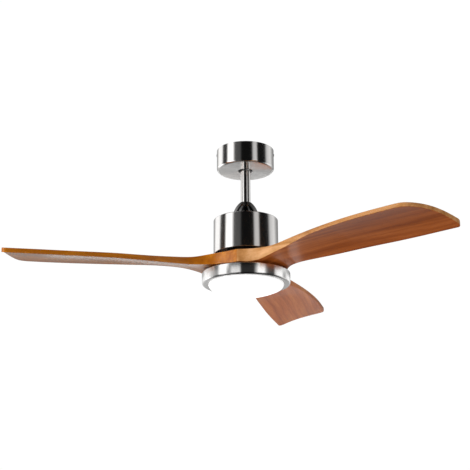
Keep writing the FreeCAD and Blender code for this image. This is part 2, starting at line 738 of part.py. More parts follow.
def make_stator_windings():
    """Twelve coils, one round each tooth, as separate solids."""
    low = -size.stator_top - size.stator_height
    body = new_body("stator_windings")
    body.AllowCompound = True
    sketch = start_sketch(body, "YZ_Plane", 0, 0, 41)
    spread, over = size.tooth_width / 2 + 4.3, 5
    inner = size.tooth_width / 2 + 0.3
    outline(sketch, [(-spread, low - over), (spread, low - over), (spread, low + size.stator_height + over),
                     (-spread, low + size.stator_height + over)])
    outline(sketch, [(-inner, low - 0.3), (inner, low - 0.3), (inner, low + size.stator_height + 0.3),
                     (-inner, low + size.stator_height + 0.3)])
    coil = body.newObject("PartDesign::Pad", "winding_coil")
    coil.Profile = sketch
    coil.Length = 17
    repeat(body, coil, 12)
    finish(body, "stator_windings")


def make_rotor_screws():
    """Six long screws that close the two rotor shells."""
    points = screw_points(-size.rotor_top + 0.05, 2.3, 1.6, 1.4, -size.rotor_bottom + 4)
    turned_group("rotor_screws", points, size.rotor_screw_circle, 6, 15)


# ---- blade plate and blades ----

def make_blade_plate():
    """Steel plate that the blades hang from."""
    def draw(sketch):
        ring_mark(sketch, size.blade_plate_radius)
        ring_mark(sketch, 24)
    base = plate_part("blade_plate_disc", -size.blade_plate_top - size.blade_plate_wall,
                      size.blade_plate_wall, draw)
    holes = bolt_tools("plate_thread", size.bolt_radius + 0.05, -size.blade_plate_top - 10, 20)
    holes += circle_tools("plate_screw_hole", 2.6, -330, 20, 57, 6, 0)
    finish(cut("blade_plate_whole", base, *holes), "blade_plate")


def bolt_tools(name, radius, low, tall):
    """Nine drills on the blade bolt circle."""
    return circle_tools(name, radius, low, tall, size.bolt_circle, 9, 90 - size.blade_turn.value)


def make_plate_screws():
    """Six countersunk screws from the plate into the rotor's neck flange."""
    low = -size.blade_plate_top - size.blade_plate_wall
    turned_group("plate_screws", [
        (0, low + 0.1), (2.5, low + 0.1), (2.5, -size.blade_plate_top + 3.5),
        (0, -size.blade_plate_top + 3.5)], 57, 6)


def make_blade_gasket():
    """Thin rubber ring between the plate and the wood."""
    def draw(sketch):
        ring_mark(sketch, size.blade_plate_radius)
        ring_mark(sketch, 62.5)
    low = -size.blade_plate_top - size.blade_plate_wall - size.gasket_wall
    base = plate_part("gasket_disc", low, size.gasket_wall, draw)
    finish(cut("gasket_whole", base, *bolt_tools("gasket_hole", size.bolt_hole_radius, low - 5, 12)),
           "blade_gasket")


def wood_top():
    return -size.blade_plate_top - size.blade_plate_wall - size.gasket_wall


# Blade stations: distance out, where the low and the high edge lie across the blade there, then for the
# low edge and the high edge the underside's height above the hub's underside and the thickness.
STATIONS = [
    (-10, 104, -104, 0, 34, 0, 34),
    (30, 104, -104, 0, 34, 0, 34),
    (62, 100, -101, 0.2, 33.8, 0.1, 33.9),
    (84, 72, -89, 1.8, 32.2, 1.4, 32),
    (110, 48, -78, 3.4, 29.4, 7.5, 25.1),
    (150, 30, -73, 4.1, 22.5, 16.2, 15.9),
    (200, 28, -79, 3.6, 18.4, 21.4, 13.4),
    (270, 32, -94, 2.9, 15.3, 24.6, 11.8),
    (360, 35, -112, 2.5, 13.7, 25.2, 10.8),
    (460, 34, -127, 0.2, 13, 23.9, 10.6),
    (560, 32, -132, -2.5, 12.8, 21.8, 10.9),
    (690, 26, -132, -5.6, 12.4, 20.4, 10.8),
]
# Plan outline of a blade about its own axis: low edge from the hub out, a rounded corner, the tip,
# the high edge back.
LOW_EDGE = [(80, 77), (100, 56.5), (124, 40), (158, 29), (205, 28), (300, 33.5), (400, 35), (530, 33),
            (648.8, 27.1)]
TIP_CORNER = [(648.8, 27.1), (657.7, 22.5), (660, 12.8)]
TIP_EDGE = [(660, 12.8), (651, -28), (636, -76), (616, -112), (597, -129.5), (580, -133)]
HIGH_EDGE = [(580, -133), (500, -130), (400, -119), (300, -100), (220, -82.5), (165, -74), (124, -75.8),
             (92, -85.5)]
# Planed face under the high edge, near the root: distance out, then where it lies across at the hub's
# top and at the hub's underside.
BEVEL = [
    (36, -124, -124),
    (60, -106, -105.5),
    (84, -90.5, -79),
    (110, -79.8, -59),
    (130, -75.6, -54),
    (150, -74.3, -51.5),
    (175, -75, -51.8),
    (200, -78.8, -55),
    (235, -85.6, -66.5),
    (270, -93.8, -82),
    (300, -101, -96),
    (330, -108.5, -108.5),
    (370, -118, -118),
]


def blade_plan():
    """Closed wire of the blade's plan: two seam lines, three smooth curves and a corner."""
    seam = 120.0
    shift = size.seam_gap.value
    slope = VEC(math.cos(math.radians(60)), math.sin(math.radians(60)), 0)
    across = VEC(slope.y, -slope.x, 0)
    near = across * shift + slope * 20
    low_start = across * shift + slope * seam
    flip = FreeCAD.Rotation(VEC(1, 0, 0), 180)
    near_high = flip.multVec(near)
    high_end = flip.multVec(low_start)
    low = spline([low_start] + flat(LOW_EDGE), across, None)
    corner = Part.Arc(*flat(TIP_CORNER)).toShape()
    tip = spline(flat(TIP_EDGE), None, None)
    high = spline(flat(HIGH_EDGE) + [high_end], None, flip.multVec(across) * -1)
    edges = [Part.makeLine(near, low_start), low, corner, tip, high, Part.makeLine(high_end, near_high),
             Part.makeLine(near_high, near)]
    return Part.Wire(Part.__sortEdges__(edges))


def flat(points):
    """Plan points as vectors at height zero."""
    return [VEC(u, v, 0) for u, v in points]


def spline(points, first, last):
    """Smooth curve through points, leaving along first or arriving along last when given."""
    curve = Part.BSplineCurve()
    if first:
        first = first * 40
        curve.interpolate(Points=points, InitialTangent=first, FinalTangent=(points[-1] - points[-2]))
    elif last:
        last = last * 40
        curve.interpolate(Points=points, InitialTangent=(points[1] - points[0]), FinalTangent=last)
    else:
        curve.interpolate(points)
    return curve.toShape()


def blade_height(station, side, v):
    """Height of the underside (side 0) or the top (side 1) at one station, a distance v across.

    The face runs straight from the low edge to the high edge, plus an arch that grows along the blade."""
    u, low_v, high_v, low_rise, low_wall, high_rise, high_wall = station
    share = (v - low_v) / (high_v - low_v)
    arch = (size.blade_arch, size.blade_top_arch)[side].value * min(1, max(0, (u - 100) / 260))
    height = number(wood_top()) - size.hub_thickness.value
    height += low_rise + (high_rise - low_rise) * share + 4 * arch * share * (1 - share)
    return height + side * (low_wall + (high_wall - low_wall) * share)


def blade_skin(side):
    """Smooth face of the underside or the top: a parabola across at every station, a cubic along."""
    first, last = 112, -144
    middle = (first + last) / 2
    columns = [[], [], []]
    for station in STATIONS:
        ends = [blade_height(station, side, v) for v in (first, last)]
        crown = 2 * blade_height(station, side, middle) - sum(ends) / 2
        for column, v, height in zip(columns, (first, middle, last), (ends[0], crown, ends[1])):
            column.append(VEC(station[0], v, height))
    curves = []
    for column in columns:
        curve = Part.BSplineCurve()
        curve.interpolate(Points=column, Parameters=[station[0] for station in STATIONS])
        curves.append(curve)
    poles = [list(row) for row in zip(*[curve.getPoles() for curve in curves])]
    surface = Part.BSplineSurface()
    surface.buildFromPolesMultsKnots(
        poles, curves[0].getMultiplicities(), [3, 3], curves[0].getKnots(), [0, 1], False, False, 3, 2)
    return surface.toShape()


def filled(one, other):
    """Solid between two four-sided faces, closed by a straight wall along each pair of their edges."""
    faces = [one, other]
    faces += [Part.makeRuledSurface(lower, upper) for lower, upper in zip(one.Edges, other.Edges)]
    shell = Part.makeShell(faces)
    shell.sewShape()
    solid = Part.makeSolid(shell)
    if solid.Volume < 0:
        solid.reverse()
    return solid


def bevel_line(height):
    """Curve along the planed face at one height above the hub's underside."""
    points = []
    for u, at_top, at_foot in BEVEL:
        across = at_foot + (at_top - at_foot) * height / size.hub_thickness.value
        points.append(VEC(u, across, number(wood_top()) - size.hub_thickness.value + height))
    curve = Part.BSplineCurve()
    curve.interpolate(Points=points, Parameters=[row[0] for row in BEVEL])
    return curve.toShape()


def bevel_waste():
    """Wood outside the planed face, taken off the blade near its root."""
    face = Part.makeRuledSurface(bevel_line(-6), bevel_line(46))
    outside = face.copy()
    outside.translate(VEC(0, -60, 0))
    return filled(face, outside)


def make_blade(name, angle):
    """One carved blade: a twisting slab trimmed to its plan, planed near the root and drilled."""
    tall = 88
    plan = Part.Face(blade_plan()).extrude(VEC(0, 0, tall))
    plan.translate(VEC(0, 0, number(wood_top()) + 8 - tall))
    carved = filled(blade_skin(0), blade_skin(1)).common(plan).cut(bevel_waste())
    wood = doc.addObject("Part::Feature", name + "_carved")
    wood.Shape = carved
    wood.Placement = FreeCAD.Placement(VEC(0, 0, 0), UP, angle)
    low = wood_top() - size.hub_thickness
    tools = [cylinder(name + "_hub_hole", size.hub_hole_radius, 80, (0, 0, low - 20)),
             cylinder(name + "_ring_room", size.ring_radius + 2.5, 30, (0, 0, low - 30)),
             cylinder(name + "_plate_room", size.ring_radius + 2.5, 20, (0, 0, wood_top()))]
    for step in (-40, 0, 40):
        turn = math.radians(angle + step)
        x, y = size.bolt_circle * math.cos(turn), size.bolt_circle * math.sin(turn)
        tools.append(cylinder(name + "_bolt_hole", size.bolt_hole_radius, 80, (x, y, low - 20)))
        tools.append(cylinder(name + "_counterbore", size.counterbore_radius, 20 + size.counterbore_depth,
                              (x, y, low - 20)))
    finish(cut(name + "_whole", wood, *tools), name)


def make_blade_washers():
    seat = wood_top() - size.hub_thickness + size.counterbore_depth
    turned_group("blade_washers", [
        (size.bolt_hole_radius, seat - size.washer_wall), (size.washer_radius, seat - size.washer_wall),
        (size.washer_radius, seat), (size.bolt_hole_radius,
                                     seat)], size.bolt_circle, 9, 90 - size.blade_turn.value)


def make_blade_screws():
    seat = wood_top() - size.hub_thickness + size.counterbore_depth - size.washer_wall
    points = hung_screw_points(seat - 0.05, 5.8, 4.2, size.bolt_radius, -size.blade_plate_top)
    turned_group("blade_screws", points, size.bolt_circle, 9, 90 - size.blade_turn.value)


# ---- light kit ----

def make_light_ring():
    """Spun steel ring: flat top, upright band, rounded foot and an upturned lip with three notches."""
    outer, wall, rounding = size.ring_radius, size.sheet_wall, size.ring_round
    top, low, shoulder = -size.ring_top, -size.ring_bottom, size.ring_shoulder
    lip = size.ring_mouth
    body = turned_body("light_ring_spun", [
        (size.ring_hole, top), (size.ring_hole, top - wall), (outer - shoulder, top - wall, shoulder - wall,
                                                              -1),
        (outer - wall, top - shoulder), (outer - wall, low + rounding, rounding - wall, -1),
        (outer - rounding, low + wall), (lip + wall, low + wall), (lip + wall, low + 3), (lip, low + 3),
        (lip, low), (outer - rounding, low, rounding, 1), (outer, low + rounding),
        (outer, top - shoulder, shoulder, 1), (outer - shoulder, top)])
    notches = []
    for index in range(3):
        angle = 120 * index + 55
        notch = block("ring_notch", 8, 26, 2.4, (0, 0, 0))
        notch.Placement = FreeCAD.Placement(VEC(0, 0, 0), UP, angle)
        spot = VEC(99, -13, -size.ring_bottom.value + 1.25)
        notch.Placement.Base = FreeCAD.Rotation(UP, angle).multVec(spot)
        notches.append(notch)
    notches += circle_tools("ring_screw_hole", 2, top - 8, 10, 38, 3, 60)
    finish(cut("light_ring_whole", body, *notches), "light_ring")


def make_light_bracket():
    """Round steel plate on the shaft's foot that the ring is screwed to."""
    def draw(sketch):
        ring_mark(sketch, size.light_bracket_radius)
        ring_mark(sketch, size.shaft_radius + size.fit_slack)
    low = -size.ring_top - size.sheet_wall - size.light_bracket_wall - 0.1
    base = plate_part("light_bracket_disc", low, size.light_bracket_wall, draw)
    holes = circle_tools("bracket_hole", 2.1, low - 4, 10, 38, 3, 60)
    finish(cut("light_bracket_whole", base, *holes), "light_bracket")


def bracket_underside():
    return -size.ring_top - size.sheet_wall - size.light_bracket_wall - 0.15


def make_shaft_nut():
    """Hexagon nut that holds the light bracket on the shaft."""
    nut = doc.addObject("Part::Prism", "nut_hex")
    nut.Polygon = 6
    nut.Circumradius = 13.8
    nut.Height = 7
    place(nut, (0, 0, bracket_underside() - 7))
    bore = cylinder("nut_bore", size.shaft_radius + size.fit_slack, 20, (0, 0, bracket_underside() - 14))
    finish(cut("nut_whole", nut, bore), "shaft_nut")


def make_light_kit_screws():
    points = hung_screw_points(bracket_underside(), 3.5, 2.4, 1.95, -size.ring_top - 0.1)
    turned_group("light_kit_screws", points, 38, 3, 60)


def make_tray_standoffs():
    """Three threaded spacers between the light bracket and the tray."""
    top, low = bracket_underside(), -size.tray_top + 0.05
    turned_group("tray_standoffs", [(1.6, low), (3.6, low), (3.6, top), (1.6, top)], size.standoff_circle,
                 3, 30)


def make_tray_screws():
    low = -size.tray_top - size.tray_wall - 0.05
    turned_group("tray_screws", hung_screw_points(low, 3.2, 2, 1.55, low + 9), size.standoff_circle, 3, 30)


def make_led_driver():
    """Driver for the lamp board, in its plastic case."""
    case = block("driver_case", 70, 30, 12, (24, -15, -377.5))
    finish(case, "led_driver")


def make_light_connector():
    """Plug on the end of the supply leads that feeds the driver."""
    plug = block("connector_plug", 15.4, 11, 5, (8.5, -5.5, -378.5))
    finish(plug, "light_connector")


def make_led_tray():
    """White reflector plate across the ring."""
    def draw(sketch):
        ring_mark(sketch, size.tray_radius)
    base = plate_part("led_tray_disc", -size.tray_top - size.tray_wall, size.tray_wall, draw)
    holes = circle_tools("tray_hole", 1.8, -384, 8, size.standoff_circle, 3, 30)
    finish(cut("led_tray_whole", base, *holes), "led_tray")


def board_under():
    return -size.tray_top - size.tray_wall - 0.1 - size.board_wall


def make_led_board():
    """Aluminium lamp board, a flat ring under the tray."""
    def draw(sketch):
        ring_mark(sketch, size.board_outer)
        ring_mark(sketch, size.board_inner)
    finish(plate_part("led_board", board_under(), size.board_wall, draw), "led_board")


def make_led_chips():
    """Two rings of small lamps on the board, as separate solids."""
    body = new_body("led_chips")
    body.AllowCompound = True
    for radius, count in ((62, 24), (82, 36)):
        sketch = start_sketch(body, "XY_Plane", 0, 0, board_under() - 0.8)
        outline(sketch, [(radius - 1.4, -1.75), (radius + 1.4, -1.75), (radius + 1.4, 1.75), (radius - 1.4,
                                                                                              1.75)])
        chip = body.newObject("PartDesign::Pad", "chip_ring")
        chip.Profile = sketch
        chip.Length = 0.8
        repeat(body, chip, count)
    finish(body, "led_chips")


def make_diffuser():
    """Opal dome: an upright rim with three lugs, and a shallow bowl of one large arc and a tight shoulder."""
    outer, wall = size.diffuser_radius, size.diffuser_wall
    rim, low = -size.diffuser_top, -size.ring_bottom
    foot = low - size.diffuser_depth
    shoulder_x, shoulder_z = outer - 7, low - 10
    drop = size.diffuser_depth - 10
    bowl = (shoulder_x * shoulder_x + drop * drop) / (2 * drop)
    body = turned_body("diffuser_bowl", [
        (outer - wall, rim), (outer - wall, low, 9.3, -1), (shoulder_x - 0.9, shoulder_z + 1.8, bowl - wall,
                                                            -1),
        (0, foot + wall), (0, foot, bowl, 1), (shoulder_x, shoulder_z, 11.3, 1), (outer, low), (outer, rim)])
    lugs = []
    for index in range(3):
        lug = Part.makeCylinder(size.lug_reach.value, size.lug_wall.value, VEC(0, 0, 0), UP, 12)
        core = Part.makeCylinder(size.diffuser_radius.value - 0.5, size.lug_wall.value, VEC(0, 0, 0), UP, 360)
        piece = doc.addObject("Part::Feature", "diffuser_lug")
        piece.Shape = lug.cut(core)
        piece.Placement = FreeCAD.Placement(VEC(0, 0, -size.ring_bottom.value + 3.35), UP, 120 * index + 24)
        lugs.append(piece)
    finish(fuse("diffuser_whole", body, *lugs), "diffuser")


# ---- build and write ----

def build():
    make_canopy_shell()
    make_canopy_screws()
    make_ceiling_bracket()
    make_receiver_box()
    make_terminal_block()
    make_hanger_ball()
    make_hanger_pin()
    make_ball_set_screw()
    make_downrod()
    make_supply_leads()
    make_yoke_cover()
    make_motor_yoke()
    make_clevis_pin()
    make_cotter_pin()
    make_yoke_set_screws()
    make_motor_housing()
    make_housing_screws()
    make_motor_shaft()
    make_bearing("upper_bearing", -size.upper_bearing_top)
    make_bearing("lower_bearing", -size.lower_bearing_top)
    make_stator_core()
    make_stator_windings()
    make_rotor_upper_shell()
    make_rotor_lower_shell()
    make_rotor_ring()
    make_rotor_magnets()
    make_rotor_screws()
    make_blade_plate()
    make_plate_screws()
    make_blade_gasket()
    for name, angle in (("blade_left", 210), ("blade_right", 330), ("blade_back", 90)):
        make_blade(name, angle - size.blade_turn.value)
    make_blade_washers()
    make_blade_screws()
    make_light_ring()
    make_light_bracket()
    make_shaft_nut()
    make_light_kit_screws()
    make_tray_standoffs()
    make_led_driver()
    make_light_connector()
    make_led_tray()
    make_tray_screws()
    make_led_board()
    make_led_chips()
    make_diffuser()


def write_parts():
    """Check every object, then export each sub-part."""
    doc.recompute()
    for item in doc.Objects:
        if "Invalid" in item.State or "Error" in item.State:
            raise SystemExit("%s did not compute: %s" % (item.Name, item.State))
    os.makedirs("parts", exist_ok=True)
    for name, item in finished:
        shape = item.Shape
        if shape.isNull() or not shape.isValid():
            raise SystemExit("%s has no valid shape" % name)
        print("%-20s solids %2d  volume %10.0f" % (name, len(shape.Solids), shape.Volume))
        shape.exportStep("parts/%s.step" % name)


build()
write_parts()
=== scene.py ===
import json
import math
import bpy
import numpy as np
from mathutils import Euler, Matrix, Vector


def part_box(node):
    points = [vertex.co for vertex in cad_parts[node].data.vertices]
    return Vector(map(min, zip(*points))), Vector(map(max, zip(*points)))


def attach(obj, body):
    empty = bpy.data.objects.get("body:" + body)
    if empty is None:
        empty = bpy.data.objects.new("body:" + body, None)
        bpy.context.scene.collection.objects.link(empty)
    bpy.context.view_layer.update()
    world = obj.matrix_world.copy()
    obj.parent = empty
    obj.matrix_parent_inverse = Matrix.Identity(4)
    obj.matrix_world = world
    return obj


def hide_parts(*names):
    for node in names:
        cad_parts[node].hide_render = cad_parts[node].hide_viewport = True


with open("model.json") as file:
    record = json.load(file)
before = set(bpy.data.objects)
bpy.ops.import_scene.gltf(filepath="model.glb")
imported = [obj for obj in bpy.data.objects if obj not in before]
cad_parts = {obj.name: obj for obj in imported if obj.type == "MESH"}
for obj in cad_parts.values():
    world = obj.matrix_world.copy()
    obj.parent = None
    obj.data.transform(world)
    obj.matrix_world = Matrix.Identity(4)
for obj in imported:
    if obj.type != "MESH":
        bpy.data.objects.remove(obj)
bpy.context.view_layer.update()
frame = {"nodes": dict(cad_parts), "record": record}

nodes = frame["nodes"]

# ---- camera ----
# A long lens well below the blades.
# It looks up at the fan from the front and a little aside.

LENS, SENSOR_WIDTH = 84.32, 36
CAMERA_AT = (0, -2.9, -1.148)
LOOK_UP, LOOK_ASIDE, ROLL = 17.25, 0.59, -0.22  # in degrees

eye = bpy.data.objects.new("camera", bpy.data.cameras.new("camera"))
eye.data.lens = LENS
eye.data.sensor_width = SENSOR_WIDTH
eye.data.clip_start = 0.05
eye.location = CAMERA_AT
tilt = Euler((math.radians(90 + LOOK_UP), 0, math.radians(LOOK_ASIDE))).to_matrix()
eye.rotation_euler = (tilt @ Matrix.Rotation(math.radians(ROLL), 3, "Z")).to_euler()
bpy.context.scene.collection.objects.link(eye)
bpy.context.scene.camera = eye
bpy.context.scene.view_settings.view_transform = "Standard"

# ---- studio: floor, soft light and the tall light strips that polished metal mirrors ----
# The fan hangs over a pale floor in a white room. Strips of light stand round it for the metal to mirror,
# and three soft boxes light the wood.

FLOOR_HEIGHT, FLOOR_HALF = -2.35, 6.0
FLOOR_GLOW = 0.14
ROOM_LIGHT, ROOM_SEEN = 0.13, 1.02  # how bright the room is for the fan, and behind it
BACKDROP_GLOW = 0.68
FAN_MIDDLE = Vector((0, 0, -0.35))


def mesh_piece(name, points, faces, material, caps=()):
    """A smooth mesh object from an array of points, an array of four-sided faces and any end caps."""
    mesh = bpy.data.meshes.new(name)
    mesh.from_pydata(points.reshape(-1, 3).tolist(), [], faces.tolist() + [cap.tolist() for cap in caps])
    mesh.shade_smooth()
    mesh.materials.append(material)
    piece = bpy.data.objects.new(name, mesh)
    bpy.context.scene.collection.objects.link(piece)
    return piece


def grid_faces(rows, columns, close_rows=False, close_columns=False):
    """Four-sided faces of a grid of points stored row by row, joined up at its ends where asked."""
    row = np.arange(rows if close_rows else rows - 1)[:, None]
    column = np.arange(columns if close_columns else columns - 1)[None, :]
    next_row, next_column = (row + 1) % rows, (column + 1) % columns
    corners = [row * columns + column, next_row * columns + column,
               next_row * columns + next_column, row * columns + next_column]
    shape = (row.size, column.size)
    return np.stack([np.broadcast_to(corner, shape) for corner in corners], -1).reshape(-1, 4)


def new_material(name):
    """A node material and its main shader."""
    material = bpy.data.materials.new(name)
    material.use_nodes = True
    return material, material.node_tree.nodes["Principled BSDF"]


def add_node(material, kind, **settings):
    """A shader node; a setting named like one of its inputs sets that input, any other a property."""
    node = material.node_tree.nodes.new("ShaderNode" + kind)
    for name, value in settings.items():
        if name in node.inputs:
            node.inputs[name].default_value = value
        else:
            setattr(node, name, value)
    return node


def join(material, *pairs):
    """Connect output sockets to input sockets, in pairs."""
    for source, target in pairs:
        material.node_tree.links.new(source, target)


def map_range(material, to=(0, 1), given=(0, 1)):
    """A node that carries the given range of values over to another, in proportion and held at both ends."""
    node = add_node(material, "MapRange")
    for end, value in zip(("From Min", "From Max", "To Min", "To Max"), (*given, *to)):
        node.inputs[end].default_value = value
    return node


def colour_ramp(material, stops, source=None):
    """A straight colour ramp with (position, colour) stops."""
    ramp = add_node(material, "ValToRGB")
    while len(ramp.color_ramp.elements) < len(stops):
        ramp.color_ramp.elements.new(0.5)
    for element, (position, colour) in zip(ramp.color_ramp.elements, stops):
        element.position = position
        element.color = (*colour, 1)
    if source is not None:
        join(material, (source, ramp.inputs[0]))
    return ramp


floor_paint, floor_shader = new_material("pale_floor")
floor_shader.inputs["Base Color"].default_value = (0.78, 0.78, 0.77, 1)
floor_shader.inputs["Roughness"].default_value = 0.7
floor_shader.inputs["Emission Color"].default_value = (1, 1, 1, 1)
floor_shader.inputs["Emission Strength"].default_value = FLOOR_GLOW
side, depth = np.meshgrid([-FLOOR_HALF, FLOOR_HALF], [-FLOOR_HALF, FLOOR_HALF])
floor_points = np.stack([side, depth, side * 0 + FLOOR_HEIGHT], -1)
floor = mesh_piece("floor", floor_points, grid_faces(2, 2)[:, ::-1], floor_paint)

room = bpy.data.worlds.new("white_room")
bpy.context.scene.world = room
room.use_nodes = True
room_light = room.node_tree.nodes["Background"]
room_light.inputs["Color"].default_value = (1, 1, 1, 1)
seen = room.node_tree.nodes.new("ShaderNodeLightPath")
level = room.node_tree.nodes.new("ShaderNodeMapRange")
level.inputs["To Min"].default_value = ROOM_LIGHT
level.inputs["To Max"].default_value = ROOM_SEEN
room.node_tree.links.new(seen.outputs["Is Camera Ray"], level.inputs["Value"])
room.node_tree.links.new(level.outputs["Result"], room_light.inputs["Strength"])

# Brightness of the strips round the fan, by angle from the front: (degrees, brightness).
STRIPS = [
    (-180, 0.30), (-142, 0.50), (-132, 1.25), (-106, 1.25), (-98, 0.04), (-78, 0.03), (-72, 1.45),
    (-50, 1.45), (-42, 0.10), (-20, 0.08), (-14, 0.006), (26, 0.006), (32, 0.62), (44, 0.72),
    (50, 0.008), (84, 0.008), (95, 0.66), (118, 0.90), (132, 0.45), (150, 0.25), (180, 0.30),
]
# Share of that brightness at each height: (height, share). It is least far below the fan and high above it.
FADE = [(-2.3, 0.10), (-1.8, 0.7), (-1.2, 1.5), (-0.6, 1.4), (-0.2, 1.0), (1.1, 1.0), (2.6, 0.40)]


def strip_glow(name, by_angle, by_height):
    """Emission that follows one ramp round the fan, by angle from the front, times one by height."""
    strips, shader = new_material(name)
    low, high = by_height[0][0], by_height[-1][0]
    place = add_node(strips, "TexCoord")
    apart = add_node(strips, "SeparateXYZ")
    turn = add_node(strips, "Math", operation="ARCTAN2")
    front = add_node(strips, "Math", operation="MULTIPLY")
    front.inputs[1].default_value = -1
    share = map_range(strips, given=(-math.pi, math.pi))
    rise = map_range(strips, given=(low, high))
    glow = add_node(strips, "Emission")
    round_stops = [((angle + 180) / 360, (bright,) * 3) for angle, bright in by_angle]
    height_stops = [((height - low) / (high - low), (left,) * 3) for height, left in by_height]
    strength = colour_ramp(strips, round_stops, share.outputs[0])
    fade = colour_ramp(strips, height_stops, rise.outputs[0])
    join(strips, (place.outputs["Object"], apart.inputs[0]), (apart.outputs["Y"], front.inputs[0]),
         (apart.outputs["X"], turn.inputs[0]), (front.outputs[0], turn.inputs[1]),
         (turn.outputs[0], share.inputs["Value"]), (apart.outputs["Z"], rise.inputs["Value"]),
         (strength.outputs["Color"], glow.inputs["Color"]),
         (fade.outputs["Color"], glow.inputs["Strength"]),
         (glow.outputs[0], strips.node_tree.nodes["Material Output"].inputs["Surface"]))
    strips.node_tree.nodes.remove(shader)
    return strips


def seen_only_in_gloss(piece):
    """Leave a lighting card to mirror-like reflections alone."""
    for ray in ("camera", "diffuse", "shadow", "transmission", "volume_scatter"):
        setattr(piece, "visible_" + ray, False)


CARD_TURNS = 96


def light_card(name, outline, glow):
    """A card turned about the upright axis: x = radius * cos(turn), y = radius * sin(turn), z = height."""
    turn = np.linspace(0, 2 * np.pi, CARD_TURNS + 1)[:-1][None, :]
    radius, height = np.hsplit(np.array(outline, float), 2)
    points = np.stack([radius * np.cos(turn), radius * np.sin(turn), height + 0 * turn], -1)
    faces = grid_faces(len(outline), CARD_TURNS, close_columns=True)
    seen_only_in_gloss(mesh_piece(name, points, faces, glow))


# A ring of strips with a disc above and below: radius and height of each row of points.
WALL = [(0.02, -2.3), (2.2, -2.3), (2.2, -1), (2.2, 0.4), (2.2, 2.6), (0.02, 2.6)]
light_card("light_wall", WALL, strip_glow("light_strips", STRIPS, FADE))

# A low band of narrower strips close round the light ring, below the blades, mostly for that ring to mirror.
RING_STRIPS = [
    (-180, 0.4), (-130, 0.5), (-95, 1.0), (-80, 1.25), (-70, 1.25), (-62, 0.75), (-54, 0.45),
    (-48, 0.40), (-44, 1.3), (-32, 1.3), (-29, 0.33), (-25, 0.33), (-22, 0.95), (-10, 0.90),
    (-7, 0.03), (12, 0.03), (16, 0.6), (19, 1.3), (28, 1.3), (32, 0.30), (36, 0.08), (46, 0.06),
    (50, 0.9), (55, 1.2), (65, 1.2), (70, 0.55), (75, 0.38), (80, 0.9), (90, 1.2), (120, 0.5),
    (180, 0.4),
]
BAND_RADIUS, BAND_FOOT, BAND_TOP = 0.150, -0.403, -0.359
light_card("ring_light", [(BAND_RADIUS, BAND_FOOT), (BAND_RADIUS, BAND_TOP)],
           strip_glow("ring_strips", RING_STRIPS, [(BAND_FOOT, 1), (BAND_TOP, 1)]))

# A white backdrop behind the fan, which the undersides of the blades mirror at a low angle.
backdrop, backdrop_shader = new_material("backdrop_glow")
backdrop_shader.inputs["Emission Color"].default_value = (1, 1, 1, 1)
backdrop_shader.inputs["Emission Strength"].default_value = BACKDROP_GLOW
across, upright = np.meshgrid([-1.9, 1.9], [-0.56, -0.28])
backdrop_points = np.stack([across, 2.0 + 0 * across, upright], -1)
seen_only_in_gloss(mesh_piece("backdrop", backdrop_points, grid_faces(2, 2), backdrop))


def soft_box(name, place_at, width, power):
    """A square area light aimed at the middle of the fan, which metal doesn't mirror."""
    lamp = bpy.data.lights.new(name, "AREA")
    lamp.shape = "RECTANGLE"
    lamp.size, lamp.size_y, lamp.energy = width, width, power
    box = bpy.data.objects.new(name, lamp)
    box.location = place_at
    box.rotation_euler = (FAN_MIDDLE - Vector(place_at)).to_track_quat("-Z", "Y").to_euler()
    box.visible_glossy = False
    bpy.context.scene.collection.objects.link(box)


soft_box("key", (-2.9, -1.5, 0.1), 1.6, 115)
soft_box("fill", (0.9, -3.0, -0.6), 1.4, 36)
soft_box("sky", (0, 0.3, 1.8), 2.5, 30)

# ---- canopy ----
# A cup of drawn steel with a rounded foot and a hole for the rod, brushed round and nickel plated.
# It hides the ceiling bracket and is held by two small screws in its sides.

SHEET = 1.2  # wall of the drawn steel pieces, in mm


def corner(centre, radius, first, last, steps=8):
    """Points of an arc in a radius-and-height outline, from angle first to last in degrees."""
    angles = np.radians(np.linspace(first, last, steps))
    return np.stack([centre[0] + radius * np.cos(angles), centre[1] + radius * np.sin(angles)], -1)


def lathe(name, outline, material, body, node, turns=160):
    """Turn an outline about the upright axis: x = radius * cos(turn), y = radius * sin(turn), z = height.

    The outline runs with the metal on its left, and its last point joins up with its first."""
    outline = np.concatenate([np.atleast_2d(part) for part in outline]) / 1000
    around = np.linspace(0, 2 * np.pi, turns, endpoint=False)[None, :]
    radius, height = outline[:, :1], outline[:, 1:]
    points = np.stack([radius * np.cos(around), radius * np.sin(around), height + 0 * around], -1)
    faces = grid_faces(len(outline), turns, close_rows=True, close_columns=True)
    piece = mesh_piece(name, points, faces, material)
    piece.data.set_sharp_from_angle(angle=math.radians(35))
    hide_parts(node)
    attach(piece, body)


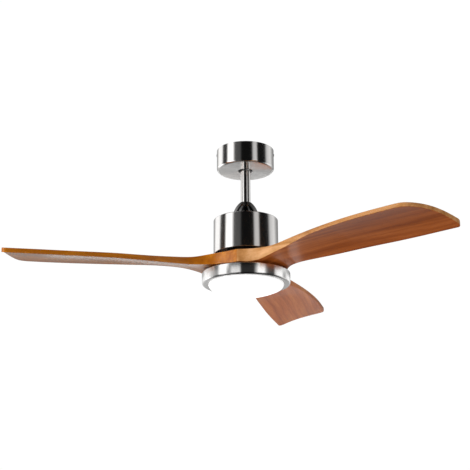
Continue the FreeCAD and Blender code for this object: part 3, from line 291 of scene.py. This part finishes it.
def brushed_nickel(name, fine=900.0, rough=0.19, tint=(0.80, 0.785, 0.77)):
    """Nickel brushed round its axis: noise squeezed along the axis into rings varies its look and surface."""
    material, shader = new_material(name)
    coordinates = add_node(material, "TexCoord")
    squeeze = add_node(material, "Mapping", Scale=(7, 7, fine))
    lines = add_node(material, "TexNoise", Scale=1.0, Detail=5.0, Roughness=0.65)
    broad = add_node(material, "Mapping", Scale=(9, 9, 24))
    cloud = add_node(material, "TexNoise", Scale=1.0, Detail=3.0)
    shaded = tuple(0.95 * part for part in tint)
    tone = colour_ramp(material, [(0.3, shaded), (0.7, tint)], lines.outputs["Fac"])
    gloss = map_range(material, (rough - 0.02, rough + 0.02), (0.25, 0.75))
    mixed = add_node(material, "Math", operation="MULTIPLY_ADD")
    mixed.inputs[1].default_value, mixed.inputs[2].default_value = 0.6, 0.0
    spread = add_node(material, "Math", operation="MULTIPLY_ADD")
    spread.inputs[1].default_value = 0.4
    bump = add_node(material, "Bump", Strength=0.02, Distance=0.00003)
    shader.inputs["Metallic"].default_value = 1
    shader.inputs["Anisotropic"].default_value = 0.95
    shader.inputs["Anisotropic Rotation"].default_value = 0.25
    join(material, (coordinates.outputs["Object"], squeeze.inputs[0]),
         (squeeze.outputs[0], lines.inputs["Vector"]),
         (coordinates.outputs["Object"], broad.inputs[0]), (broad.outputs[0], cloud.inputs["Vector"]),
         (tone.outputs["Color"], shader.inputs["Base Color"]),
         (lines.outputs["Fac"], mixed.inputs[0]), (cloud.outputs["Fac"], spread.inputs[0]),
         (mixed.outputs[0], spread.inputs[2]), (spread.outputs[0], gloss.inputs["Value"]),
         (gloss.outputs[0], shader.inputs["Roughness"]),
         (lines.outputs["Fac"], bump.inputs["Height"]), (bump.outputs[0], shader.inputs["Normal"]))
    tangent = add_node(material, "Tangent", direction_type="RADIAL", axis="Z")
    join(material, (tangent.outputs[0], shader.inputs["Tangent"]))
    return material


canopy_nickel = brushed_nickel("canopy_nickel")
canopy_low, canopy_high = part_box("canopy_shell")
rim, foot, reach = canopy_high.z * 1000, canopy_low.z * 1000, canopy_high.x * 1000
CANOPY_HOLE, CANOPY_CURVE = 20.5, 7
foot_centre = (reach - CANOPY_CURVE, foot + CANOPY_CURVE)
lathe("canopy", [
    (CANOPY_HOLE, foot + SHEET), (CANOPY_HOLE, foot + 0.3), (CANOPY_HOLE + 0.4, foot),
    corner(foot_centre, CANOPY_CURVE, -90, 0, 10), (reach, rim - 0.3), (reach - 0.3, rim),
    (reach - SHEET, rim), corner(foot_centre, CANOPY_CURVE - SHEET, 0, -90)],
    canopy_nickel, "ceiling", "canopy_shell", 192)

# ---- downrod ----
# A straight steel tube, polished and nickel plated.
# It hangs from the ball and carries the motor.

rod_nickel = brushed_nickel("rod_nickel", 500.0, 0.17, (0.86, 0.84, 0.82))
rod_low, rod_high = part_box("downrod")
low, high = rod_low.z * 1000, rod_high.z * 1000
ROD_BORE, ROD_RADIUS = 11, 13.5
lathe("rod", [
    (ROD_BORE, low), (ROD_RADIUS - 0.3, low), (ROD_RADIUS, low + 0.4), (ROD_RADIUS, high - 0.4),
    (ROD_RADIUS - 0.3, high), (ROD_BORE, high)], rod_nickel, "hanger", "downrod", 64)

# ---- bell cover ----
# A spun bell in dark glossy nickel that slides up the rod.
# It hides the coupling's pin and screws.

bell_metal, bell_shader = new_material("black_nickel")
bell_shader.inputs["Metallic"].default_value = 1
bell_spots = add_node(bell_metal, "TexNoise", Scale=60.0, Detail=4.0)
bell_tone = colour_ramp(bell_metal, [(0.35, (0.115, 0.112, 0.110)), (0.65, (0.165, 0.160, 0.157))],
                        bell_spots.outputs["Fac"])
bell_gloss = map_range(bell_metal, (0.06, 0.16))
bell_place = add_node(bell_metal, "TexCoord")
join(bell_metal, (bell_place.outputs["Object"], bell_spots.inputs["Vector"]),
     (bell_tone.outputs["Color"], bell_shader.inputs["Base Color"]),
     (bell_spots.outputs["Fac"], bell_gloss.inputs["Value"]),
     (bell_gloss.outputs[0], bell_shader.inputs["Roughness"]))
bell_low, bell_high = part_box("yoke_cover")
top, base = bell_high.z * 1000, bell_low.z * 1000


def flare(start, end, radius, turn, steps=18):
    """The shorter arc between two outline points; turn 1 runs anticlockwise."""
    start, end = np.array(start, float), np.array(end, float)
    chord = end - start
    length = math.hypot(*chord)
    rise = math.sqrt(radius * radius - length * length / 4) * turn
    middle = (start + end) / 2 + np.array([-chord[1], chord[0]]) / length * rise
    first, last = [math.degrees(math.atan2(*(point - middle)[::-1])) for point in (start, end)]
    last = first + (last - first + 180) % 360 - 180
    return corner(middle, radius, first, last, steps)


BELL_CURVE, BELL_FOOT = 62, 36
lathe("bell", [
    (14, top - SHEET), (14, top - 0.3), (14.3, top), (16.6, top),
    flare((17.4, top - 0.6), (BELL_FOOT, base), BELL_CURVE, -1), (BELL_FOOT - SHEET, base),
    flare((BELL_FOOT - SHEET, base + 2), (17.2, top - SHEET), BELL_CURVE, 1)][::-1],
    bell_metal, "hanger", "yoke_cover", 96)

# ---- motor housing ----
# A drawn steel cup with soft edges, open below, brushed round and nickel plated.
# Three screws on top hold it.

housing_nickel = brushed_nickel("housing_nickel")
house_low, house_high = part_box("motor_housing")
top, base, reach = house_high.z * 1000, house_low.z * 1000, house_high.x * 1000
SHOULDER = 2.5
shoulder_centre = (reach - SHOULDER, top - SHOULDER)
lathe("housing", [
    (reach - 3, base + 1), (reach - 3, base), corner((reach - 1, base + 1), 1, -90, 0, 5),
    corner(shoulder_centre, SHOULDER, 0, 90), (20, top), (20, top - SHEET),
    corner(shoulder_centre, SHOULDER - SHEET, 90, 0, 6), (reach - SHEET, base + 1)],
    housing_nickel, "hanger", "motor_housing", 192)

# ---- blades ----
# Three blades carved from solid wood and lacquered. Each has a thick root block cut to a 120 degree wedge;
# the three wedges meet at upright seams and are bolted up to a steel plate.

BLADE_TURN = 11.7  # how far the whole rotor is turned at rest, in degrees
HUB_FLOOR, HUB_TOP = -356.5, -322.5
ROOT_TALL = HUB_TOP - HUB_FLOOR
HUB_REACH = 106  # no wood stands above the hub's top within this radius
ARCH_START, ARCH_RUN = 100, 260  # where the arched middle begins, and the run over which it grows
UNDER_ARCH, OVER_ARCH = 8.5, 7
BLADE_ROWS, ROOT_ROWS = 300, 24
ROOT_BOW, BOW_ROWS = 17, 20  # how far the inner end bows out round the shaft, and over how many rows

# Sections of the blade, in mm: distance out; where its low and its high edge lie across; then the underside's
# height above the hub's floor and the thickness, at the low edge and at the high edge.
STATIONS = np.array([
    (-10, 104, -104, 0, 34, 0, 34), (30, 104, -104, 0, 34, 0, 34),
    (62, 100, -101, 0.2, 33.8, 0.1, 33.9), (84, 72, -89, 1.8, 32.2, 1.4, 32),
    (110, 48, -78, 3.4, 29.4, 7.5, 25.1), (150, 30, -73, 4.1, 22.5, 16.2, 15.9),
    (200, 28, -79, 3.6, 18.4, 21.4, 13.4), (270, 32, -94, 2.9, 15.3, 24.6, 11.8),
    (360, 35, -112, 2.5, 13.7, 25.2, 10.8), (460, 34, -127, 0.2, 13, 23.9, 10.6),
    (560, 32, -132, -2.5, 12.8, 21.8, 10.9), (690, 26, -132, -5.6, 12.4, 20.4, 10.8)])
# Outline of the blade seen from above, as (distance out, across).
LOW_EDGE = [(60, 103.9), (80, 77), (100, 56.5), (124, 40), (158, 29), (205, 28), (300, 33.5), (400, 35),
            (530, 33), (630, 28.1), (648.8, 27.1)]
TIP_CORNER = [(648.8, 27.1), (653.7, 25.8), (657.7, 22.5), (659.7, 17.9), (660, 12.8)]
TIP_EDGE = [(580, -133), (597, -129.5), (616, -112), (636, -76), (651, -28), (660, 12.8)]
HIGH_EDGE = [(60, -103.9), (92, -85.5), (124, -75.8), (165, -74), (220, -82.5), (300, -100), (400, -119),
             (500, -130), (580, -133)]
# The planed face under the high edge: distance out, then where it lies across at the hub's top and underside.
BEVEL = np.array([
    (36, -124, -124), (60, -106, -105.5), (84, -90.5, -79), (110, -79.8, -59), (130, -75.6, -54),
    (150, -74.3, -51.5), (175, -75, -51.8), (200, -78.8, -55), (235, -85.6, -66.5), (270, -93.8, -82),
    (300, -101, -96), (330, -108.5, -108.5), (370, -118, -118)])
BEVEL_START, BEVEL_END = 61, 335  # the planed face lies between these distances out


def smooth_line(knots, samples, steps=None):
    """A natural cubic through knots, sampled evenly along its length.

    The curvatures at the knots solve a set of linear equations: where two stretches meet, slopes agree."""
    knots = np.array(knots, float)
    steps = np.linalg.norm(np.diff(knots, axis=0), axis=1) if steps is None else steps
    at = np.concatenate([[0], np.cumsum(steps)])
    count = len(at)
    system = np.eye(count)
    target = np.zeros((count, knots.shape[1]))
    inner = np.arange(1, count - 1)
    system[inner, inner - 1] = steps[:-1]
    system[inner, inner] = 2 * (steps[:-1] + steps[1:])
    system[inner, inner + 1] = steps[1:]
    slopes = np.diff(knots, axis=0) / steps[:, None]
    target[1:-1] = 6 * np.diff(slopes, axis=0)
    curving = np.linalg.solve(system, target)
    where = np.linspace(0, at[-1], samples)
    cell = np.clip(np.searchsorted(at, where) - 1, 0, count - 2)
    left, right, span = where - at[cell], at[cell + 1] - where, steps[cell]
    left, right, span = left[:, None], right[:, None], span[:, None]
    return (curving[cell] * right ** 3 + curving[cell + 1] * left ** 3) / (6 * span) + (
        knots[cell] / span - curving[cell] * span / 6) * right + (
        knots[cell + 1] / span - curving[cell + 1] * span / 6) * left


# Each section's edge heights and thicknesses, and the planed face, smoothed along the blade.
sections = smooth_line(STATIONS, 400, np.diff(STATIONS[:, 0]))
planed = smooth_line(BEVEL, 400, np.diff(BEVEL[:, 0]))


def blade_faces(out, across):
    """Underside and top height at a distance out and across: straight between the edges, plus an arch.

    The arch is a parabola across the blade that grows from nothing at the root to its full rise."""
    low_side, high_side, low_rise, low_wall, high_rise, high_wall = [
        np.interp(out, sections[:, 0], sections[:, column]) for column in range(1, 7)]
    share = (across - low_side) / (high_side - low_side)
    arch = np.clip((out - ARCH_START) / ARCH_RUN, 0, 1) * 4 * share * (1 - share)
    low_top, high_top = low_rise + low_wall, high_rise + high_wall
    under = HUB_FLOOR + low_rise + (high_rise - low_rise) * share + UNDER_ARCH * arch
    over = HUB_FLOOR + low_top + (high_top - low_top) * share + OVER_ARCH * arch
    return under, np.where(np.hypot(out, across) < HUB_REACH, np.minimum(over, HUB_TOP), over)


def crease_share(start, end):
    """Share of each line across the blade at which the underside meets the planed face.

    The face lies across at foot + (top - foot) * height / root height. Each round steps along the line to
    where the face lies at the last point's height, and twelve rounds settle on the crease."""
    share = np.ones(len(start))
    for _ in range(12):
        point = start + (end - start) * share[:, None]
        height = blade_faces(point[:, 0], point[:, 1])[0] - HUB_FLOOR
        at_top, at_foot = [np.interp(point[:, 0], planed[:, 0], planed[:, column]) for column in (1, 2)]
        wanted = at_foot + (at_top - at_foot) * height / ROOT_TALL
        share = np.clip(share + (wanted - point[:, 1]) / (end - start)[:, 1], 0.3, 1)
    return share


def blade_shape(angle):
    """A closed skin: lines across the blade from its low edge to its high edge and tip, wrapped round it.

    Near each edge the two faces close in along quarter circles, so the wood's corners are softly rounded. The
    flat skin is then turned by the angle: x = out * cos - across * sin, y = out * sin + across * cos."""
    seam_low = np.array([(15.13, 25.9), (60.13, 103.85)])
    seam_high = seam_low * [1, -1]
    ease = np.linspace(0, 1, ROOT_ROWS)[:, None]
    split = int(BLADE_ROWS * 0.74)
    low_line = np.concatenate([
        seam_low[0] + (seam_low[1] - seam_low[0]) * ease,
        smooth_line(LOW_EDGE, BLADE_ROWS - 10)[1:], smooth_line(TIP_CORNER, 11)[1:]])
    high_line = np.concatenate([
        seam_high[0] + (seam_high[1] - seam_high[0]) * ease,
        smooth_line(HIGH_EDGE, split)[1:], smooth_line(TIP_EDGE, BLADE_ROWS - split + 1)[1:]])
    rows = len(low_line)
    width = np.maximum(np.hypot(*(high_line - low_line).T), 1e-6)
    # Radius of the rounded corners: small at the seams, larger along the blade, easing off at the tip.
    rounding = np.interp(np.arange(rows), [0, ROOT_ROWS - 1, 50, rows - 20, rows], [0.4, 0.4, 1.6, 1.6, 1.0])
    rounding = np.minimum(rounding, width * 0.45)[:, None]
    quarter = np.linspace(0, np.pi / 2, 6)[None, :]
    near = rounding * (1 - np.cos(quarter)) / width[:, None]
    inset = rounding * (1 - np.sin(quarter))
    middle = np.linspace(0, 1, 30)[None, 1:-1] * (1 - 2 * near[:, -1:]) + near[:, -1:]
    share = np.concatenate([near, middle, 1 - near[:, ::-1]], 1)
    inset = np.concatenate([inset, 0 * middle, inset[:, ::-1]], 1)
    plan = low_line[:, None, :] + (high_line - low_line)[:, None, :] * share[..., None]
    bow = np.interp(np.arange(rows), [0, BOW_ROWS], [ROOT_BOW, 0])[:, None]
    plan[..., 0] += bow * 4 * share * (1 - share)
    over = blade_faces(plan[..., 0], plan[..., 1])[1]
    top_skin = np.stack([plan[..., 0], plan[..., 1], over - inset], -1)
    reach = np.ones(rows)
    crossing = (low_line[:, 0] > BEVEL_START) & (high_line[:, 0] < BEVEL_END)
    reach[crossing] = crease_share(low_line[crossing], high_line[crossing])
    plan = plan[:, :1] + (plan - plan[:, :1]) * reach[:, None, None]
    under = blade_faces(plan[..., 0], plan[..., 1])[0]
    low_skin = np.stack([plan[..., 0], plan[..., 1], under + inset], -1)[:, ::-1]
    skin = np.concatenate([top_skin, low_skin], 1) / 1000
    cos, sin = math.cos(math.radians(angle)), math.sin(math.radians(angle))
    turned = skin[..., :2] @ np.array([[cos, sin], [-sin, cos]])
    return np.concatenate([turned, skin[..., 2:]], -1)


def lacquered_wood(name, angle, seed, lacquer, underside_shade, dark, mid, light):
    """Lacquered wood with its grain along the blade: stretched noise for figure, pores and slow colour drift.

    The underside is darker than the edges by painted shade, told apart by which way the surface faces."""
    material, shader = new_material(name)
    coordinates = add_node(material, "TexCoord")
    turned = add_node(material, "Mapping", vector_type="TEXTURE", Rotation=(0, 0, math.radians(angle)))
    shift = add_node(material, "Mapping", Location=(seed * 1.7, seed * 0.9, seed * 0.4))
    wander = add_node(material, "TexNoise", Scale=2.2, Detail=2.0)
    bend = add_node(material, "VectorMath", operation="MULTIPLY_ADD")
    bend.inputs[1].default_value = (0, 0.05, 0.02)
    figure_scale = add_node(material, "Mapping", Scale=(2.2, 60, 40))
    figure = add_node(material, "TexNoise", Scale=1.0, Detail=7.0, Roughness=0.62)
    pore_scale = add_node(material, "Mapping", Scale=(30, 900, 900))
    pores = add_node(material, "TexNoise", Scale=1.0, Detail=3.0)
    drift_scale = add_node(material, "Mapping", Scale=(1.3, 12, 12))
    drift = add_node(material, "TexNoise", Scale=1.0, Detail=2.0)
    grain = colour_ramp(material, [(0.30, dark), (0.50, mid), (0.70, light)], figure.outputs["Fac"])
    soften = add_node(material, "Mix", data_type="RGBA", blend_type="MULTIPLY")
    soften.inputs["Factor"].default_value = 0.8
    shade_stops = [(0.35, (0.76, 0.66, 0.58)), (0.65, (1, 1, 1))]
    shade = colour_ramp(material, shade_stops, drift.outputs["Fac"])
    specks = add_node(material, "Mix", data_type="RGBA", blend_type="MULTIPLY")
    specks.inputs["Factor"].default_value = 0.5
    dot_stops = [(0.30, (0.55, 0.45, 0.40)), (0.44, (1, 1, 1))]
    dots = colour_ramp(material, dot_stops, pores.outputs["Fac"])
    gloss = map_range(material, (0.26, 0.40))
    bump = add_node(material, "Bump", Strength=0.25, Distance=0.0002)
    facing = add_node(material, "SeparateXYZ")
    # Painted shade: surfaces that face down are multiplied by the darker underside colour.
    below = map_range(material, given=(-0.70, -0.90))
    painted_shade_mix = add_node(material, "Mix", data_type="RGBA", blend_type="MULTIPLY")
    painted_shade_mix.inputs["B"].default_value = (*underside_shade, 1)
    join(material, (coordinates.outputs["Object"], turned.inputs[0]),
         (turned.outputs[0], shift.inputs[0]),
         (shift.outputs[0], wander.inputs["Vector"]), (wander.outputs["Color"], bend.inputs[0]),
         (shift.outputs[0], bend.inputs[2]), (bend.outputs[0], figure_scale.inputs[0]),
         (figure_scale.outputs[0], figure.inputs["Vector"]), (shift.outputs[0], pore_scale.inputs[0]),
         (pore_scale.outputs[0], pores.inputs["Vector"]), (shift.outputs[0], drift_scale.inputs[0]),
         (drift_scale.outputs[0], drift.inputs["Vector"]), (grain.outputs["Color"], soften.inputs["A"]),
         (shade.outputs["Color"], soften.inputs["B"]), (soften.outputs["Result"], specks.inputs["A"]),
         (dots.outputs["Color"], specks.inputs["B"]), (coordinates.outputs["Normal"], facing.inputs[0]),
         (facing.outputs["Z"], below.inputs["Value"]), (below.outputs[0], painted_shade_mix.inputs["Factor"]),
         (specks.outputs["Result"], painted_shade_mix.inputs["A"]),
         (painted_shade_mix.outputs["Result"], shader.inputs["Base Color"]),
         (figure.outputs["Fac"], gloss.inputs["Value"]), (gloss.outputs[0], shader.inputs["Roughness"]),
         (pores.outputs["Fac"], bump.inputs["Height"]), (bump.outputs[0], shader.inputs["Normal"]))
    shader.inputs["Specular IOR Level"].default_value = 0.1
    shader.inputs["Coat Weight"].default_value = lacquer
    shader.inputs["Coat Roughness"].default_value = 0.25
    return material


# Each blade is cut from its own plank, so the three differ a little in colour; their tones also carry painted
# light, with the right and back blades made lighter to look lit: name, node it replaces, angle, seed of the
# grain, weight of the lacquer, painted shade on the underside, and the grain's three tones.
PLANKS = (
    ("wood_left", "blade_left", 210 - BLADE_TURN, 1, 0.65,
     (1, 1, 1), (0.27, 0.072, 0.003), (0.42, 0.138, 0.005), (0.57, 0.215, 0.010)),
    ("wood_right", "blade_right", 330 - BLADE_TURN, 2, 0.4,
     (0.80, 0.42, 0.19), (0.34, 0.140, 0.034), (0.52, 0.250, 0.088), (0.69, 0.38, 0.18)),
    ("wood_back", "blade_back", 90 - BLADE_TURN, 3, 0.3,
     (1, 0.85, 0.8), (0.55, 0.150, 0.035), (0.80, 0.28, 0.085), (0.95, 0.42, 0.15)),
)
for name, node, angle, seed, lacquer, *tones in PLANKS:
    skin = blade_shape(angle)
    rows, columns = skin.shape[:2]
    faces = grid_faces(rows, columns, close_columns=True)[:, ::-1]
    caps = (np.arange(columns), (rows - 1) * columns + np.arange(columns)[::-1])
    blade = mesh_piece(name, skin, faces, lacquered_wood(name, angle, seed, lacquer, *tones), caps)
    blade.data.set_sharp_from_angle(angle=math.radians(50))
    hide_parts(node)
    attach(blade, "rotor")

# ---- light ring ----
# A spun steel ring below the hub, brushed round and nickel plated.
# Its foot is a bullnose with a turned-in lip.

ring_nickel = brushed_nickel("ring_nickel", 700.0, 0.24, (0.86, 0.85, 0.84))
ring_low, ring_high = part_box("light_ring")
top, base, reach = ring_high.z * 1000, ring_low.z * 1000, ring_high.x * 1000
BULLNOSE, LIP = 6, 103
nose_centre = (reach - BULLNOSE, base + BULLNOSE)
shoulder_centre = (reach - SHOULDER, top - SHOULDER)
lathe("ring", [
    (LIP, base + 0.3), (LIP + 0.3, base), corner(nose_centre, BULLNOSE, -90, 0, 10),
    corner(shoulder_centre, SHOULDER, 0, 90), (12, top), (12, top - SHEET),
    corner(shoulder_centre, SHOULDER - SHEET, 90, 0, 6), corner(nose_centre, BULLNOSE - SHEET, 0, -90),
    (LIP + SHEET, base + SHEET), (LIP + SHEET, base + 3), (LIP, base + 3)],
    ring_nickel, "hanger", "light_ring", 224)

# ---- diffuser ----
# A blown bowl of opal plastic, lit from inside by the lamp board.
# It is held in the ring's lip by three lugs.

RIM_RADIUS = 0.103  # in m
OPAL_GLOW = 0.72
opal, opal_shader = new_material("lit_opal")
opal_place = add_node(opal, "TexCoord")
opal_flat = add_node(opal, "VectorMath", operation="MULTIPLY")
opal_flat.inputs[1].default_value = (1, 1, 0)
opal_reach = add_node(opal, "VectorMath", operation="LENGTH")
opal_share = map_range(opal, given=(0, RIM_RADIUS))
opal_glow = colour_ramp(opal, [(0.55, (1, 1, 1)), (0.92, (0.86, 0.86, 0.87)), (1.0, (0.72, 0.72, 0.73))])
opal_cloud = add_node(opal, "TexNoise", Scale=30.0, Detail=4.0)
opal_gloss = map_range(opal, (0.30, 0.42))
join(opal, (opal_place.outputs["Object"], opal_flat.inputs[0]),
     (opal_flat.outputs[0], opal_reach.inputs[0]),
     (opal_reach.outputs["Value"], opal_share.inputs["Value"]),
     (opal_share.outputs[0], opal_glow.inputs[0]),
     (opal_glow.outputs["Color"], opal_shader.inputs["Emission Color"]),
     (opal_place.outputs["Object"], opal_cloud.inputs["Vector"]),
     (opal_cloud.outputs["Fac"], opal_gloss.inputs["Value"]),
     (opal_gloss.outputs[0], opal_shader.inputs["Roughness"]))
opal_shader.inputs["Base Color"].default_value = (0.9, 0.9, 0.89, 1)
opal_shader.inputs["Emission Strength"].default_value = OPAL_GLOW
bowl_low, bowl_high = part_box("diffuser")
brim, lip, sink = bowl_high.z * 1000, -390.0, bowl_low.z * 1000
BOWL_CURVE, BOWL_WALL, BOWL_OUTER = 226.7, 2, 102.3
BOWL_INNER = BOWL_OUTER - BOWL_WALL
AXIS = 0.05  # the outline stops this far short of the axis
inner_turn, outer_turn = (94.4, lip - 8.2), (95.3, lip - 10)  # where the side curves into the bowl
lathe("diffuser_bowl", [
    (BOWL_INNER, brim), (BOWL_INNER, lip), flare((BOWL_INNER, lip), inner_turn, 9.3, -1, 8)[1:],
    flare(inner_turn, (AXIS, sink + BOWL_WALL), BOWL_CURVE - BOWL_WALL, -1, 30)[1:],
    flare((AXIS, sink), outer_turn, BOWL_CURVE, 1, 30),
    flare(outer_turn, (BOWL_OUTER, lip), 11.3, 1, 10)[1:],
    (BOWL_OUTER, brim - 0.3), (BOWL_OUTER - 0.3, brim)], opal, "diffuser", "diffuser")

# ---- inner metal, plastic and rubber pieces ----
# Everything else keeps its modelled shape and takes the finish of its real stock.
# The node's material slot says which finish.


def stock(name, dark, light, metal, gloss_ends, scale=(60, 60, 60), bump_height=0.0001):
    """Finish for a stock material: noise at one scale drives its tone, roughness and a fine bump.

    dark and light are the two ends of its tone, one number for a grey."""
    dark, light = [tone if isinstance(tone, tuple) else (tone,) * 3 for tone in (dark, light)]
    material, shader = new_material(name)
    coordinates = add_node(material, "TexCoord")
    stretch = add_node(material, "Mapping", Scale=scale)
    noise = add_node(material, "TexNoise", Scale=1.0, Detail=5.0)
    tone = colour_ramp(material, [(0.3, dark), (0.7, light)], noise.outputs["Fac"])
    gloss = map_range(material, gloss_ends)
    bump = add_node(material, "Bump", Strength=0.3, Distance=bump_height)
    shader.inputs["Metallic"].default_value = metal
    join(material, (coordinates.outputs["Object"], stretch.inputs[0]),
         (stretch.outputs[0], noise.inputs["Vector"]),
         (tone.outputs["Color"], shader.inputs["Base Color"]),
         (noise.outputs["Fac"], gloss.inputs["Value"]), (gloss.outputs[0], shader.inputs["Roughness"]),
         (noise.outputs["Fac"], bump.inputs["Height"]), (bump.outputs[0], shader.inputs["Normal"]))
    return material


# Finish of each material slot: two tones, metal or not, range of roughness, then noise scale and bump depth.
METAL, PLAIN = 1, 0
FINISHES = {
    "zinc_steel": stock("zinc_plate", (0.42, 0.42, 0.43), (0.62, 0.62, 0.63), METAL, (0.28, 0.45)),
    "screw_steel": stock("screw_zinc", (0.40, 0.40, 0.42), (0.60, 0.60, 0.62), METAL, (0.22, 0.4),
                         (200, 200, 200)),
    "nylon": stock("black_nylon", 0.02, 0.035, PLAIN, (0.45, 0.6), (300, 300, 300)),
    "black_paint": stock("black_enamel", 0.010, 0.018, PLAIN, (0.35, 0.5), (400, 400, 400)),
    "cast_yoke": stock("cast_iron", (0.12, 0.12, 0.125), (0.2, 0.2, 0.205), METAL, (0.45, 0.7),
                       (260, 260, 260), 0.0003),
    "bearing_steel": stock("ground_steel", (0.5, 0.5, 0.51), (0.66, 0.66, 0.67), METAL, (0.12, 0.24),
                           (40, 40, 900)),
    "laminations": stock("stacked_sheet", (0.18, 0.185, 0.2), (0.32, 0.325, 0.34), METAL, (0.4, 0.55),
                         (12, 12, 2000), 0.0002),
    "copper": stock("enamelled_copper", (0.38, 0.13, 0.04), (0.62, 0.26, 0.10), METAL, (0.25, 0.4),
                    (120, 120, 1600), 0.0003),
    "ferrite": stock("ferrite", (0.04, 0.04, 0.042), (0.075, 0.075, 0.078), PLAIN, (0.5, 0.7),
                     (350, 350, 350)),
    "rubber": stock("black_rubber", 0.012, 0.022, PLAIN, (0.7, 0.85), (500, 500, 500)),
    "white_plastic": stock("white_plastic", (0.76, 0.76, 0.74), (0.82, 0.82, 0.80), PLAIN, (0.4, 0.5),
                           (420, 420, 420)),
    "lead_sheath": stock("lead_sheath", (0.66, 0.66, 0.64), (0.74, 0.74, 0.72), PLAIN, (0.5, 0.6),
                         (300, 300, 60)),
    "white_paint": stock("white_powder", (0.84, 0.84, 0.83), (0.9, 0.9, 0.89), PLAIN, (0.4, 0.55),
                         (600, 600, 600)),
    "board": stock("solder_mask", (0.78, 0.79, 0.79), (0.86, 0.87, 0.87), PLAIN, (0.3, 0.4),
                   (200, 200, 200)),
    "led": stock("phosphor", (0.80, 0.66, 0.22), (0.90, 0.78, 0.34), PLAIN, (0.4, 0.5), (500, 500, 500)),
}
slots = {entry["node"]: entry["material_slot"] for entry in frame["record"]["subparts"]}
for name, node in nodes.items():
    if slots[name] in FINISHES:
        node.data.materials.clear()
        node.data.materials.append(FINISHES[slots[name]])
